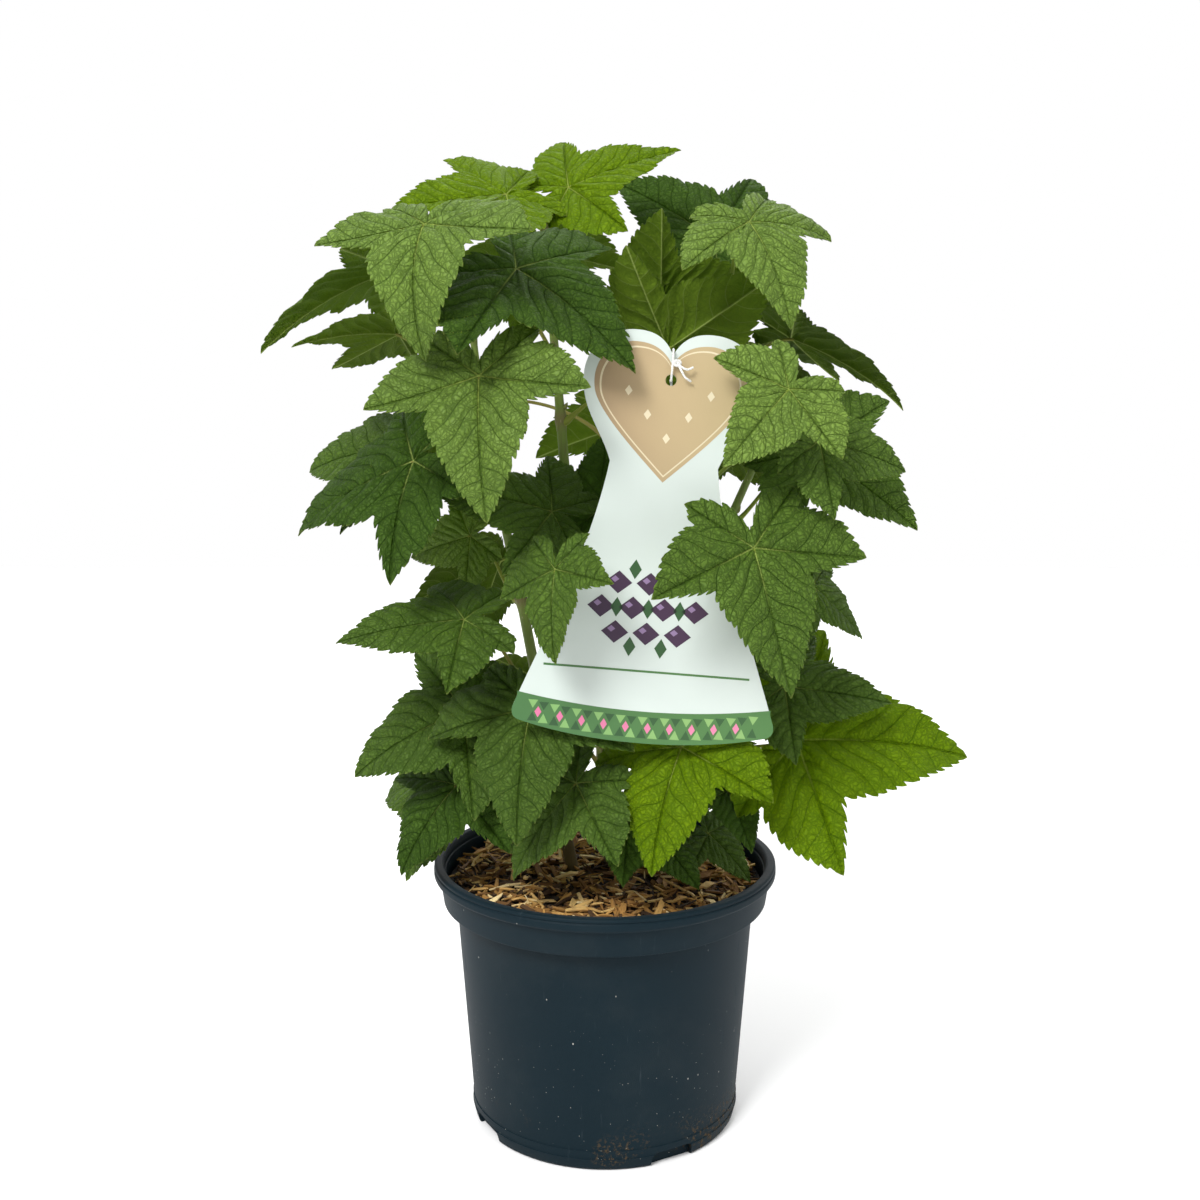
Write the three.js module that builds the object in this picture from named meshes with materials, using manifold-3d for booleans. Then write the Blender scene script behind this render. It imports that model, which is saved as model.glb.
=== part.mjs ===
// A young blackcurrant bush in a round nursery pot: compost, wood-chip mulch,
// five canes, lobed and toothed leaves on long stalks, and a heart-topped hang
// label on an elastic tie. Millimetres, +Z up. The pot stands on z = 0 with its
// axis on Z, and the label faces -Y.
import * as THREE from 'three';
import Module from 'manifold-3d';

const wasm = await Module();
wasm.setup();

// Pot
const RIM_RADIUS = 106.4;
const RIM_HEIGHT = 165;
const LIP_DEPTH = 8;
const COLLAR_RADIUS = 102;
const COLLAR_FOOT = 140.5;
const BODY_TOP_RADIUS = 92.6;
const LEDGE_DROP = 2;
const BASE_RADIUS = 83;
const WALL = 2.4;
const FLOOR = 3;
const NOTCHES = 4;
const NOTCH_AZIMUTH = 29;
const NOTCH_WIDTH = 28;
const NOTCH_HEIGHT = 9;
const POT_SIDES = 42;

// Filling
const GAP = 0.3;
const SLIVER = 0.02;
const SOIL_TOP = 149;
const MULCH_TOP = 156;
const MULCH_MOUND = 4;
const CHIPS = 30;
const CHIP_SIZE = [30, 8, 5];
const CHIP_TURN = 137.5;

// Sides of leaf stalks and of the tie
const CORD_SIDES = 4;

// Canes: radius at foot and at tip, and route as x, y, z points
const CANE_FOOT = 70;
const CANE_SIDES = 6;
const CANE_STEPS = 9;
const CANES = {
  middle: {
    foot: 4.4,
    tip: 2,
    route: [[4, 6, 155], [-4, -2, 260], [-20, -8, 370], [-28, -9, 460], [-35, -4, 544]],
  },
  right: {
    foot: 4.2,
    tip: 2,
    route: [[24, 12, 155], [40, 6, 280], [55, -4, 400], [64, -9, 460], [70, -12, 506]],
  },
  front: {
    foot: 4,
    tip: 1.8,
    route: [[32, -12, 155], [42, -22, 260], [57, -32, 340], [75, -38, 388], [97, -46, 440]],
  },
  left: {
    foot: 4,
    tip: 1.8,
    route: [[-20, -2, 155], [-36, -10, 250], [-52, -16, 340], [-68, -16, 420], [-80, -10, 508]],
  },
  rear: {
    foot: 4.2,
    tip: 1.8,
    route: [[0, 34, 155], [3, 52, 270], [6, 62, 390], [2, 58, 506]],
  },
};

// Leaf margin: angle from the midrib in degrees, radius as a share of length
const MARGIN = [
  [0, 1.0], [4, 0.88], [9, 0.815], [14, 0.72], [20, 0.68], [28, 0.585], [36, 0.565], [45, 0.5],
  [55, 0.445], [64, 0.57], [75, 0.84], [81, 0.72], [90, 0.69], [100, 0.6], [109, 0.56],
  [118, 0.46], [130, 0.55], [142, 0.48], [157, 0.34], [180, 0.1],
];
const BLADE = 0.8;
const BLADE_RING = 0.52;
const BLADE_HEART = 0.2;
const BLADE_WAVE = 0.05;
const BLADE_UNEVEN = 0.06;
const STALK_RADIUS = 1.3;
const STALK_STEPS = 4;
const STALK_RISE = 0.9;

const TONES = { dark: '#4c6b3a', mid: '#5f8146', light: '#86a562', young: '#a3bb55' };

// Leaves: cane, height on it, blade foot x, y, z, facing azimuth (0 is -Y, 90 is
// +X) and elevation, turn of the tip clockwise from downhill, midrib length,
// bend of the midrib and of the sides in degrees, tone
const LEAVES = [
  ['left', 486, -93, -110, 541, -22, 50, -4, 75, 84, -8, 'light'],
  ['left', 496, -130, 30, 526, -128, 66, -40, 94, 32, 12, 'mid'],
  ['left', 440, -124, 14, 488, -150, 68, -98, 72, 15, 5, 'mid'],
  ['middle', 470, -47, -88, 520, 15, 52, -43, 87, 27, 16, 'dark'],
  ['left', 400, -66, -112, 464, -15, 30, -7, 76, 30, -10, 'light'],
  ['left', 382, -109, -50, 416, -37, 46, 60, 96, 22, 30, 'dark'],
  ['left', 392, -122, 10, 420, -32, 49, 83, 85, 21, 12, 'mid'],
  ['middle', 528, -58, 8, 568, 12, 60, 76, 73, 2, 4, 'young'],
  ['middle', 536, -22, 18, 573, -22, 48, -127, 72, 8, 16, 'young'],
  ['rear', 480, 69, 58, 545, 10, 35, 135, 82, 15, 20, 'dark'],
  ['right', 496, 78, -62, 546, 10, 46, -18, 64, 42, 42, 'light'],
  ['right', 456, 33, 2, 506, 178, 32, 105, 64, 0, -5, 'mid'],
  ['middle', 436, 36, -30, 478, 172, 22, 125, 76, 0, -10, 'mid'],
  ['right', 446, 115, 35, 486, 112, 62, 45, 88, 20, 0, 'dark'],
  ['front', 432, 95, -112, 457, 5, 26, 42, 54, 22, 4, 'light'],
  ['front', 378, 117, -48, 421, 5, 40, -52, 74, 18, 12, 'mid'],
  ['right', 366, 70, 34, 418, 150, 58, 45, 76, 15, 5, 'dark'],
  ['middle', 330, -30, -51, 387, 25, 47, 121, 67, 40, 10, 'mid'],
  ['middle', 345, -3, -26, 386, -12, 25, 178, 52, 10, 10, 'dark'],
  ['middle', 296, -27, -121, 364, -48, 22, -12, 52, 29, 6, 'mid'],
  ['left', 330, -82, 6, 366, -20, 20, 73, 46, 20, 10, 'light'],
  ['left', 268, -79, -72, 329, 5, 65, 85, 72, 20, 28, 'mid'],
  ['left', 236, -82, -46, 270, -8, 46, 64, 80, 42, 28, 'mid'],
  ['middle', 224, -42, -82, 280, -15, 42, 0, 78, 40, 30, 'mid'],
  ['left', 200, -88, -42, 224, -27, 50, 20, 66, 42, 28, 'dark'],
  ['left', 196, -17, -76, 235, -40, 40, 24, 70, 28, 8, 'mid'],
  ['left', 186, -92, -4, 219, -50, 45, 70, 80, 20, 15, 'mid'],
  ['middle', 178, 14, -56, 212, 0, 55, 5, 48, 24, 20, 'dark'],
  ['front', 212, 42, -90, 260, -25, 42, 5, 74, 42, 35, 'young'],
  ['front', 192, 72, -48, 222, 20, 50, -5, 40, 20, 15, 'dark'],
  ['front', 172, 32, -52, 193, 20, 60, -20, 40, 20, 15, 'dark'],
  ['front', 180, 62, -30, 190, 35, 50, -25, 40, 20, 15, 'mid'],
  ['front', 316, 78, -118, 375, 22, 24, -6, 80, 10, -6, 'mid'],
  ['front', 246, 104, -48, 285, -8, 52, -84, 62, 12, 18, 'mid'],
  ['right', 214, 112, -45, 252, -12, 42, -97, 104, 30, 22, 'young'],
  ['front', 300, 121, -35, 342, 45, 35, -40, 48, 20, 15, 'mid'],
  ['rear', 496, -43, 92, 541, -150, 50, 10, 78, 30, 15, 'mid'],
  ['rear', 486, 58, 104, 520, 150, 50, -10, 74, 30, 15, 'mid'],
  ['rear', 420, 98, 102, 462, 125, 45, 10, 82, 30, 15, 'dark'],
  ['rear', 420, -95, 105, 440, -130, 45, 0, 84, 30, 15, 'dark'],
  ['rear', 370, 20, 118, 430, 175, 35, 5, 86, 30, 15, 'mid'],
  ['rear', 300, 72, 98, 350, 140, 40, 0, 84, 30, 15, 'mid'],
  ['rear', 290, -70, 98, 340, -140, 40, 5, 84, 30, 15, 'dark'],
  ['rear', 230, 60, 95, 265, 150, 45, 0, 78, 30, 15, 'mid'],
  ['rear', 220, -50, 98, 260, -155, 45, 0, 78, 30, 15, 'mid'],
  ['right', 392, 115, -88, 429, 12, 34, -76, 54, 20, 10, 'mid'],
];

// Label: card size, eyelet, middle of its bottom edge, sideways lean and tilt back
const LABEL_HEIGHT = 222;
const LABEL_THICKNESS = 0.8;
const LABEL_HOLE_RADIUS = 3;
const LABEL_HOLE_DROP = 25;
const LABEL_FOOT = [19, -104, 265];
const LABEL_LEAN = 4.6;
const LABEL_TILT = 4;

// Tie: cord radius, knot radius and height on the right-hand cane
const TIE_RADIUS = 0.8;
const TIE_STEPS = 40;
const KNOT_RADIUS = 2;
const TIE_HEIGHT = 428;

const rad = THREE.MathUtils.degToRad;
const vec = (p) => new THREE.Vector3(p[0], p[1], p[2]);

// A repeatable number from 0 to 1 for leaf or chip i and property k
const chance = (i, k) => {
  const s = Math.sin(i * 127.1 + k * 311.7) * 43758.5453;
  return s - Math.floor(s);
};

// Geometry to closed solid, welding equal corners
const solid = (geometry) => {
  const p = geometry.attributes.position;
  const index = geometry.index;
  const seen = new Map();
  const verts = [];
  const tris = [];
  const corner = (i) => {
    const key = [p.getX(i), p.getY(i), p.getZ(i)].map((v) => Math.round(v * 1e4)).join();
    if (!seen.has(key)) {
      seen.set(key, verts.length / 3);
      verts.push(p.getX(i), p.getY(i), p.getZ(i));
    }
    return seen.get(key);
  };
  const count = index ? index.count : p.count;
  for (let i = 0; i < count; i += 3) {
    const [a, b, c] = [0, 1, 2].map((k) => corner(index ? index.getX(i + k) : i + k));
    if (a !== b && b !== c && c !== a) tris.push(a, b, c);
  }
  const mesh = new wasm.Mesh({
    numProp: 3,
    vertProperties: new Float32Array(verts),
    triVerts: new Uint32Array(tris),
  });
  return new wasm.Manifold(mesh);
};

const group = new THREE.Group();
const addNode = (name, body, color, roughness) => {
  const m = body.simplify(SLIVER).getMesh();
  const geometry = new THREE.BufferGeometry();
  geometry.setAttribute('position', new THREE.BufferAttribute(m.vertProperties, 3));
  geometry.setIndex(new THREE.BufferAttribute(m.triVerts, 1));
  geometry.computeVertexNormals();
  const material = new THREE.MeshStandardMaterial({ color, roughness });
  const mesh = new THREE.Mesh(geometry, material);
  mesh.name = name;
  group.add(mesh);
};

// Rings of equal count joined into a tube; a closed route has no end caps
const loft = (rings, closed) => {
  const n = rings[0].length;
  const index = [];
  const last = closed ? rings.length : rings.length - 1;
  for (let r = 0; r < last; r += 1) {
    const a = r * n;
    const b = ((r + 1) % rings.length) * n;
    for (let i = 0; i < n; i += 1) {
      const j = (i + 1) % n;
      index.push(a + i, a + j, b + j, a + i, b + j, b + i);
    }
  }
  const top = (rings.length - 1) * n;
  for (let i = 1; !closed && i < n - 1; i += 1) {
    index.push(0, i + 1, i, top, top + i, top + i + 1);
  }
  const geometry = new THREE.BufferGeometry();
  const points = rings.flat().flatMap((v) => v.toArray());
  geometry.setAttribute('position', new THREE.Float32BufferAttribute(points, 3));
  geometry.setIndex(index);
  return solid(geometry);
};

// Ring of points about a place, in the plane of two unit vectors
const ring = (place, u, w, radius, sides) => Array.from({ length: sides }, (_, i) => {
  const a = (i / sides) * 2 * Math.PI;
  return place.clone()
    .addScaledVector(u, radius * Math.cos(a))
    .addScaledVector(w, radius * Math.sin(a));
});

// Round cord along a curve, its rings carried along without twist
const cord = (curve, steps, radius, sides, closed) => {
  const { normals, binormals } = curve.computeFrenetFrames(steps, closed);
  const rings = Array.from({ length: closed ? steps : steps + 1 }, (_, i) => (
    ring(curve.getPointAt(i / steps), normals[i], binormals[i], radius, sides)));
  return loft(rings, closed);
};

// Pot wall turned about the axis, with drain notches in the bottom corner
const slope = (BODY_TOP_RADIUS - BASE_RADIUS) / COLLAR_FOOT;
const ledge = BODY_TOP_RADIUS - LEDGE_DROP * slope;
const potProfile = [
  [0, 0], [BASE_RADIUS - 4, 0], [BASE_RADIUS - 1, 1], [BASE_RADIUS, 4],
  [ledge, COLLAR_FOOT - LEDGE_DROP], [COLLAR_RADIUS - 1.5, COLLAR_FOOT],
  [COLLAR_RADIUS + 1, RIM_HEIGHT - LIP_DEPTH - 1], [RIM_RADIUS - 1.5, RIM_HEIGHT - LIP_DEPTH],
  [RIM_RADIUS, RIM_HEIGHT - LIP_DEPTH + 2.5], [RIM_RADIUS, RIM_HEIGHT - 2.5],
  [RIM_RADIUS - 2.2, RIM_HEIGHT], [COLLAR_RADIUS - WALL + 2, RIM_HEIGHT - 0.5],
  [COLLAR_RADIUS - WALL, RIM_HEIGHT - 3],
  [COLLAR_RADIUS - 1.5 - WALL, COLLAR_FOOT + WALL],
  [ledge - WALL, COLLAR_FOOT - LEDGE_DROP + WALL],
  [BASE_RADIUS - WALL, 12], [BASE_RADIUS - WALL - 4, FLOOR], [0, FLOOR],
];
const turned = (profile, sides) => {
  const points = profile.map(([r, z]) => new THREE.Vector2(r, z));
  return solid(new THREE.LatheGeometry(points, sides).rotateX(Math.PI / 2));
};
let pot = turned(potProfile, POT_SIDES);
for (let k = 0; k < NOTCHES; k += 1) {
  const a = rad(NOTCH_AZIMUTH - 90 + (k * 360) / NOTCHES);
  const box = new THREE.BoxGeometry(12, NOTCH_WIDTH, 2 * NOTCH_HEIGHT);
  box.translate(BASE_RADIUS + 1, 0, 0).rotateZ(a);
  pot = pot.subtract(solid(box));
}
addNode('pot', pot, '#2b343a', 0.5);

// Canes: straight where they stand in the compost, then along the route
const caneRoute = ({ route }) => new THREE.CatmullRomCurve3(route.map(vec), false, 'catmullrom', 0.5);
const caneAt = (cane, height) => {
  const curve = caneRoute(cane);
  let [low, high] = [0, 1];
  for (let i = 0; i < 30; i += 1) {
    const mid = (low + high) / 2;
    if (curve.getPoint(mid).z < height) low = mid;
    else high = mid;
  }
  return { place: curve.getPoint(low), radius: cane.foot + (cane.tip - cane.foot) * low };
};
const caneBody = (cane, extra) => {
  const curve = caneRoute(cane);
  const up = new THREE.Vector3(0, 0, 1);
  const back = new THREE.Vector3(0, 1, 0);
  const ringAt = (place, heading, radius) => {
    const u = back.clone().cross(heading).normalize();
    return ring(place, u, heading.clone().cross(u), radius + extra, CANE_SIDES);
  };
  const rings = [ringAt(vec(cane.route[0]).setZ(CANE_FOOT - extra), up, cane.foot)];
  for (let i = 0; i <= CANE_STEPS; i += 1) {
    const t = i / CANE_STEPS;
    const radius = cane.foot + (cane.tip - cane.foot) * t;
    const heading = i === 0 ? up : curve.getTangent(t);
    const place = curve.getPoint(t);
    if (i === CANE_STEPS) place.addScaledVector(heading, extra);
    rings.push(ringAt(place, heading, radius));
  }
  return loft(rings, false);
};
const canes = Object.entries(CANES).map(([name, cane]) => ({ name, body: caneBody(cane, 0) }));
const sleeves = Object.values(CANES).map((cane) => caneBody(cane, GAP * 1.4));
canes.forEach(({ name, body }) => addNode(`cane_${name}`, body, '#7d7a4c', 0.7));
const clearOfCanes = (body) => sleeves.reduce((b, sleeve) => b.subtract(sleeve), body);

// Compost fills the pot below the mulch
const soilEdge = (z) => BASE_RADIUS - WALL + (z - 12) * slope - GAP - 0.4;
const soilProfile = [
  [0, FLOOR + GAP], [BASE_RADIUS - WALL - 5, FLOOR + GAP], [BASE_RADIUS - WALL - GAP - 0.8, 12],
  [soilEdge(COLLAR_FOOT - 13), COLLAR_FOOT - 13], [soilEdge(SOIL_TOP) - 1, SOIL_TOP], [0, SOIL_TOP],
];
addNode('soil', clearOfCanes(turned(soilProfile, 28)), '#2e2119', 1);

// Mulch: a low mound with splinters of wood lying in it at all angles
const mulchEdge = COLLAR_RADIUS - 1.5 - WALL - GAP - 0.6;
const mulchProfile = [
  [0, SOIL_TOP + GAP], [mulchEdge - 1, SOIL_TOP + GAP], [mulchEdge, SOIL_TOP + 1],
  [mulchEdge, MULCH_TOP - 3], [mulchEdge * 0.6, MULCH_TOP + MULCH_MOUND * 0.7],
  [0, MULCH_TOP + MULCH_MOUND],
];
let mulch = turned(mulchProfile, 32);
for (let i = 0; i < CHIPS; i += 1) {
  const r = (mulchEdge - 15) * Math.sqrt((i + 0.5) / CHIPS);
  const a = i * rad(CHIP_TURN);
  const lift = MULCH_TOP - 1 + MULCH_MOUND * (1 - r / mulchEdge) + 0.8;
  const grow = 0.7 + 0.5 * chance(i, 1);
  const chip = new THREE.BoxGeometry(CHIP_SIZE[0] * grow, CHIP_SIZE[1], CHIP_SIZE[2]);
  chip.rotateX(rad(40 * chance(i, 2) - 20));
  chip.rotateY(rad(16 * chance(i, 3) - 8));
  chip.rotateZ(Math.PI * chance(i, 4));
  chip.translate(r * Math.cos(a), r * Math.sin(a), lift);
  mulch = mulch.add(solid(chip));
}
addNode('wood_chip_mulch', clearOfCanes(mulch), '#8a6a45', 0.95);

// Leaf: the margin swept out from the foot of the midrib, bent along arcs that
// run out from that foot, the midrib and the sides each with its own bend
const leafFrame = (azimuth, elevation, turn) => {
  const [a, e, t] = [azimuth, elevation, turn].map(rad);
  const ahead = new THREE.Vector3(Math.sin(a), -Math.cos(a), 0);
  const up = new THREE.Vector3(0, 0, 1);
  const normal = ahead.clone().multiplyScalar(Math.cos(e)).addScaledVector(up, Math.sin(e));
  const down = ahead.multiplyScalar(Math.sin(e)).addScaledVector(up, -Math.cos(e));
  const side = down.clone().cross(normal);
  const along = down.multiplyScalar(Math.cos(t)).addScaledVector(side, Math.sin(t));
  const across = along.clone().cross(normal);
  return { across, along, normal };
};
const bladePoint = (leaf, share, angle) => {
  const reach = share * leaf.length;
  const lengthwise = rad(leaf.arch) * Math.cos(angle) ** 2;
  const sideways = rad(leaf.sides) * Math.sin(angle) ** 2;
  const bend = (lengthwise + sideways) / leaf.length;
  const flat = Math.abs(bend) < 1e-6;
  const out = flat ? reach : Math.sin(bend * reach) / bend;
  const drop = flat ? 0 : (1 - Math.cos(bend * reach)) / bend;
  const wave = BLADE_WAVE * leaf.length * share ** 2 * Math.sin(3 * angle + leaf.phase);
  const { across, along, normal } = leaf.frame;
  return leaf.foot.clone()
    .addScaledVector(across, out * Math.sin(angle))
    .addScaledVector(along, out * Math.cos(angle))
    .addScaledVector(normal, wave - drop);
};
const bladeNormal = (leaf, share, angle) => {
  const s = Math.max(share, 0.05);
  const outward = bladePoint(leaf, s + 0.01, angle).sub(bladePoint(leaf, s - 0.01, angle));
  const round = bladePoint(leaf, s, angle + 0.02).sub(bladePoint(leaf, s, angle - 0.02));
  return round.cross(outward).normalize();
};
const margin = [
  ...MARGIN.map(([a, r]) => [rad(a), r]),
  ...MARGIN.slice(1, -1).reverse().map(([a, r]) => [-rad(a), r]),
];
const bladeBody = (leaf) => {
  const outer = margin.map(([a, r]) => [r * (1 + leaf.side * Math.sin(a)), a]);
  const inner = outer.filter((_, i) => i % 2 === 0).map(([r, a]) => [r * BLADE_RING, a]);
  const spots = [...outer, ...inner, [BLADE_HEART, 0]];
  const [n, m] = [outer.length, inner.length];
  const faces = [];
  for (let i = 0; i < n; i += 1) {
    faces.push([i, (i + 1) % n, n + (Math.floor((i + 1) / 2) % m)]);
  }
  for (let i = 0; i < m; i += 1) {
    const j = (i + 1) % m;
    faces.push([n + i, (2 * i + 1) % n, n + j], [n + i, n + j, n + m]);
  }
  const points = [0.5, -0.5].flatMap((level) => spots.map(([s, a]) => (
    bladePoint(leaf, s, a).addScaledVector(bladeNormal(leaf, s, a), level * BLADE))));
  const index = [];
  faces.forEach(([a, b, c]) => {
    index.push(a, c, b, spots.length + a, spots.length + b, spots.length + c);
  });
  for (let i = 0; i < n; i += 1) {
    const j = (i + 1) % n;
    index.push(i, j, spots.length + j, i, spots.length + j, spots.length + i);
  }
  const geometry = new THREE.BufferGeometry();
  const flat = points.flatMap((v) => v.toArray());
  geometry.setAttribute('position', new THREE.Float32BufferAttribute(flat, 3));
  geometry.setIndex(index);
  return solid(geometry);
};

// Stalk from the cane, rising outward, to the underside of the blade's foot
const stalkBody = (leaf) => {
  const { place, radius } = caneAt(CANES[leaf.cane], leaf.height);
  const { along, normal } = leaf.frame;
  const end = leaf.foot.clone().addScaledVector(along, 2);
  const out = end.clone().sub(place).setZ(0).normalize();
  const start = place.addScaledVector(out, radius + GAP + 0.7 * STALK_RADIUS);
  const span = start.distanceTo(end);
  const rise = out.add(new THREE.Vector3(0, 0, STALK_RISE)).normalize();
  const curve = new THREE.CubicBezierCurve3(
    start,
    start.clone().addScaledVector(rise, span * 0.4),
    leaf.foot.clone().addScaledVector(along, -span * 0.25).addScaledVector(normal, -span * 0.12),
    end,
  );
  return cord(curve, STALK_STEPS, STALK_RADIUS, CORD_SIDES, false);
};
LEAVES.forEach((row, i) => {
  const [cane, height, x, y, z, azimuth, elevation, turn, length, arch, sides, tone] = row;
  const leaf = { cane, height, length, arch, sides, foot: new THREE.Vector3(x, y, z) };
  leaf.frame = leafFrame(azimuth, elevation, turn);
  leaf.phase = 2 * Math.PI * chance(i, 1);
  leaf.side = BLADE_UNEVEN * (2 * chance(i, 2) - 1);
  const body = bladeBody(leaf).add(stalkBody(leaf));
  addNode(`leaf_${String(i + 1).padStart(2, '0')}`, body, TONES[tone], 0.6);
});

// Label card: heart top, narrow waist, flared skirt with an arched foot
const outline = new THREE.Shape();
const h = LABEL_HEIGHT;
outline.moveTo(0, h - 12);
outline.bezierCurveTo(5, h - 1, 14, h + 1, 24, h);
outline.bezierCurveTo(40, h - 2, 49, h - 16, 46, h - 32);
outline.bezierCurveTo(44, h - 46, 34, h - 56, 29, h - 70);
outline.bezierCurveTo(36, h - 120, 58, h - 170, 71, 16);
outline.bezierCurveTo(72, 12, 71, 9, 66, 8);
outline.bezierCurveTo(30, -2, -30, -2, -66, 8);
outline.bezierCurveTo(-71, 9, -72, 12, -71, 16);
outline.bezierCurveTo(-58, h - 170, -36, h - 120, -29, h - 70);
outline.bezierCurveTo(-34, h - 56, -44, h - 46, -46, h - 32);
outline.bezierCurveTo(-49, h - 16, -40, h - 2, -24, h);
outline.bezierCurveTo(-14, h + 1, -5, h - 1, 0, h - 12);
const eyelet = new THREE.Path();
eyelet.absarc(0, h - LABEL_HOLE_DROP, LABEL_HOLE_RADIUS, 0, 2 * Math.PI, false);
outline.holes.push(eyelet);
const card = new THREE.ExtrudeGeometry(outline, {
  depth: LABEL_THICKNESS,
  bevelEnabled: false,
  curveSegments: 5,
});
card.translate(0, 0, -LABEL_THICKNESS / 2);
const labelPlace = new THREE.Matrix4().makeTranslation(...LABEL_FOOT)
  .multiply(new THREE.Matrix4().makeRotationX(rad(90 - LABEL_TILT)))
  .multiply(new THREE.Matrix4().makeRotationZ(rad(-LABEL_LEAN)));
addNode('label', solid(card.applyMatrix4(labelPlace)), '#e2ece4', 0.45);

// Elastic tie: in at the eyelet, over the notch and round the right-hand cane
const onLabel = (x, y, z) => new THREE.Vector3(x, y, z).applyMatrix4(labelPlace);
const hook = caneAt(CANES.right, TIE_HEIGHT).place;
const tieRoute = new THREE.CatmullRomCurve3([
  onLabel(0, h - LABEL_HOLE_DROP - 0.5, -3),
  onLabel(0, h - LABEL_HOLE_DROP, 1.6),
  onLabel(0, h - 20, 3),
  onLabel(0, h - 10, 2.2),
  onLabel(0, h - 9, -2.8),
  onLabel(2, h - 40, -9),
  hook.clone().add(new THREE.Vector3(-6, -8, 2)),
  hook.clone().add(new THREE.Vector3(-5.5, 1, 2)),
  hook.clone().add(new THREE.Vector3(0, 5.5, 2)),
  hook.clone().add(new THREE.Vector3(5.5, 0, 0)),
  hook.clone().add(new THREE.Vector3(1, -8, -2)),
  onLabel(6, h - 42, -7),
], true);
const tie = cord(tieRoute, TIE_STEPS, TIE_RADIUS, CORD_SIDES, true);
const knot = new THREE.SphereGeometry(KNOT_RADIUS, 6, 4);
knot.translate(...onLabel(0, h - 16, 3.2).toArray());
addNode('label_tie', tie.add(solid(knot)), '#f2f2ee', 0.6);

export default group;
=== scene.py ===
"""Looks of a young blackcurrant bush in a nursery pot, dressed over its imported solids.

Shapes are worked out in millimetres in the part's own frame, +Z up with the label facing -Y,
and go into meshes in metres. Every draw of random numbers is seeded.
"""

import bpy
import numpy as np
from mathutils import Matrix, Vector


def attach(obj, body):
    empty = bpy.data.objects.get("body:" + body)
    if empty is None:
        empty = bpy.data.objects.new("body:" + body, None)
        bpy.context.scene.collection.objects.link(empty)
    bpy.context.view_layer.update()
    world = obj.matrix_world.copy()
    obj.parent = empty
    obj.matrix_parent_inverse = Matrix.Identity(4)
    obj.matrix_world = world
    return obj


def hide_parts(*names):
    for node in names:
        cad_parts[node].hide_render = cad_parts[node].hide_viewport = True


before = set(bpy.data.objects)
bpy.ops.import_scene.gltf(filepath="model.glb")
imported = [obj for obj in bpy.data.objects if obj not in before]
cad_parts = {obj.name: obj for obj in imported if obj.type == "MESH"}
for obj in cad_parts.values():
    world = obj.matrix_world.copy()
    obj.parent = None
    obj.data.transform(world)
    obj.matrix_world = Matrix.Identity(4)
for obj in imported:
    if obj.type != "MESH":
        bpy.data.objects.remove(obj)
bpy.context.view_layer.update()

MM = 0.001
BODY = "root"

# Camera: place and downward pitch as in the photograph, focal length for a 36 mm sensor
CAMERA_PLACE = (-3, -878, 474)
CAMERA_PITCH = 9.49
CAMERA_LENS = 43.92
IMAGE_SENSOR = 36

# Stage, in metres: half of the floor's side, strength of the surround's front, and lights with
# their place, the point they face, power in watts and width
FLOOR_HALF = 2.4
FRONT_LEVEL = 0.25
LIGHTS = {
    "key": ((-0.9, -1.6, 2.1), (0, 0, 0.4), 66, 0.9),
    "fill": ((1.7, -1.3, 1.0), (0, 0, 0.35), 10, 1.6),
    "back": ((0.3, 1.7, 1.7), (0, 0, 0.4), 22, 1.8),
}

# Pot
RIM_RADIUS = 106.4
RIM_HEIGHT = 165
LIP_DEPTH = 8
COLLAR_RADIUS = 102
COLLAR_FOOT = 140.5
LEDGE_DROP = 2
BODY_TOP_RADIUS = 92.6
BASE_RADIUS = 83
WALL = 2.4
FLOOR = 3
NOTCHES = 4
NOTCH_AZIMUTH = 29
NOTCH_WIDTH = 28
NOTCH_HEIGHT = 9
FOOT_STEPS = (7.7, 12.8)

# Sides of the round pieces
POT_SIDES = 240
BED_SIDES = 120
CANE_SIDES = 20
BUD_SIDES = 10
STALK_SIDES = 10
TIE_SIDES = 12

# Mulch: the bed, and chips with their least size, the spread above it and the power that gathers
# most of them near the least
SOIL_TOP = 149
MULCH_TOP = 156
MULCH_MOUND = 4
MULCH_RADIUS = 97
CHIPS = 2100
LARGE_CHIPS = 950
LARGE_LENGTH = (9, 14, 1.6)
SMALL_LENGTH = (4, 9, 1)
LARGE_WIDTH = (1.8, 2.8, 1.5)
SMALL_WIDTH = (0.7, 1.2, 1)
LARGE_THICKNESS = 0.8
SMALL_THICKNESS = 0.4
THICKNESS_SPREAD = 0.9
BED_DROP = 4.0

# Canes: radius at foot and at tip, and route, as in the part's source
CANE_FOOT = 70
CANES = {
    "middle": (4.4, 2.0, [(4, 6, 155), (-4, -2, 260), (-20, -8, 370), (-28, -9, 460), (-35, -4, 544)]),
    "right": (4.2, 2.0, [(24, 12, 155), (40, 6, 280), (55, -4, 400), (64, -9, 460), (70, -12, 506)]),
    "front": (4.0, 1.8, [(32, -12, 155), (42, -22, 260), (57, -32, 340), (75, -38, 388), (97, -46, 440)]),
    "left": (4.0, 1.8, [(-20, -2, 155), (-36, -10, 250), (-52, -16, 340), (-68, -16, 420), (-80, -10, 508)]),
    "rear": (4.2, 1.8, [(0, 34, 155), (3, 52, 270), (6, 62, 390), (2, 58, 506)]),
}

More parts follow.
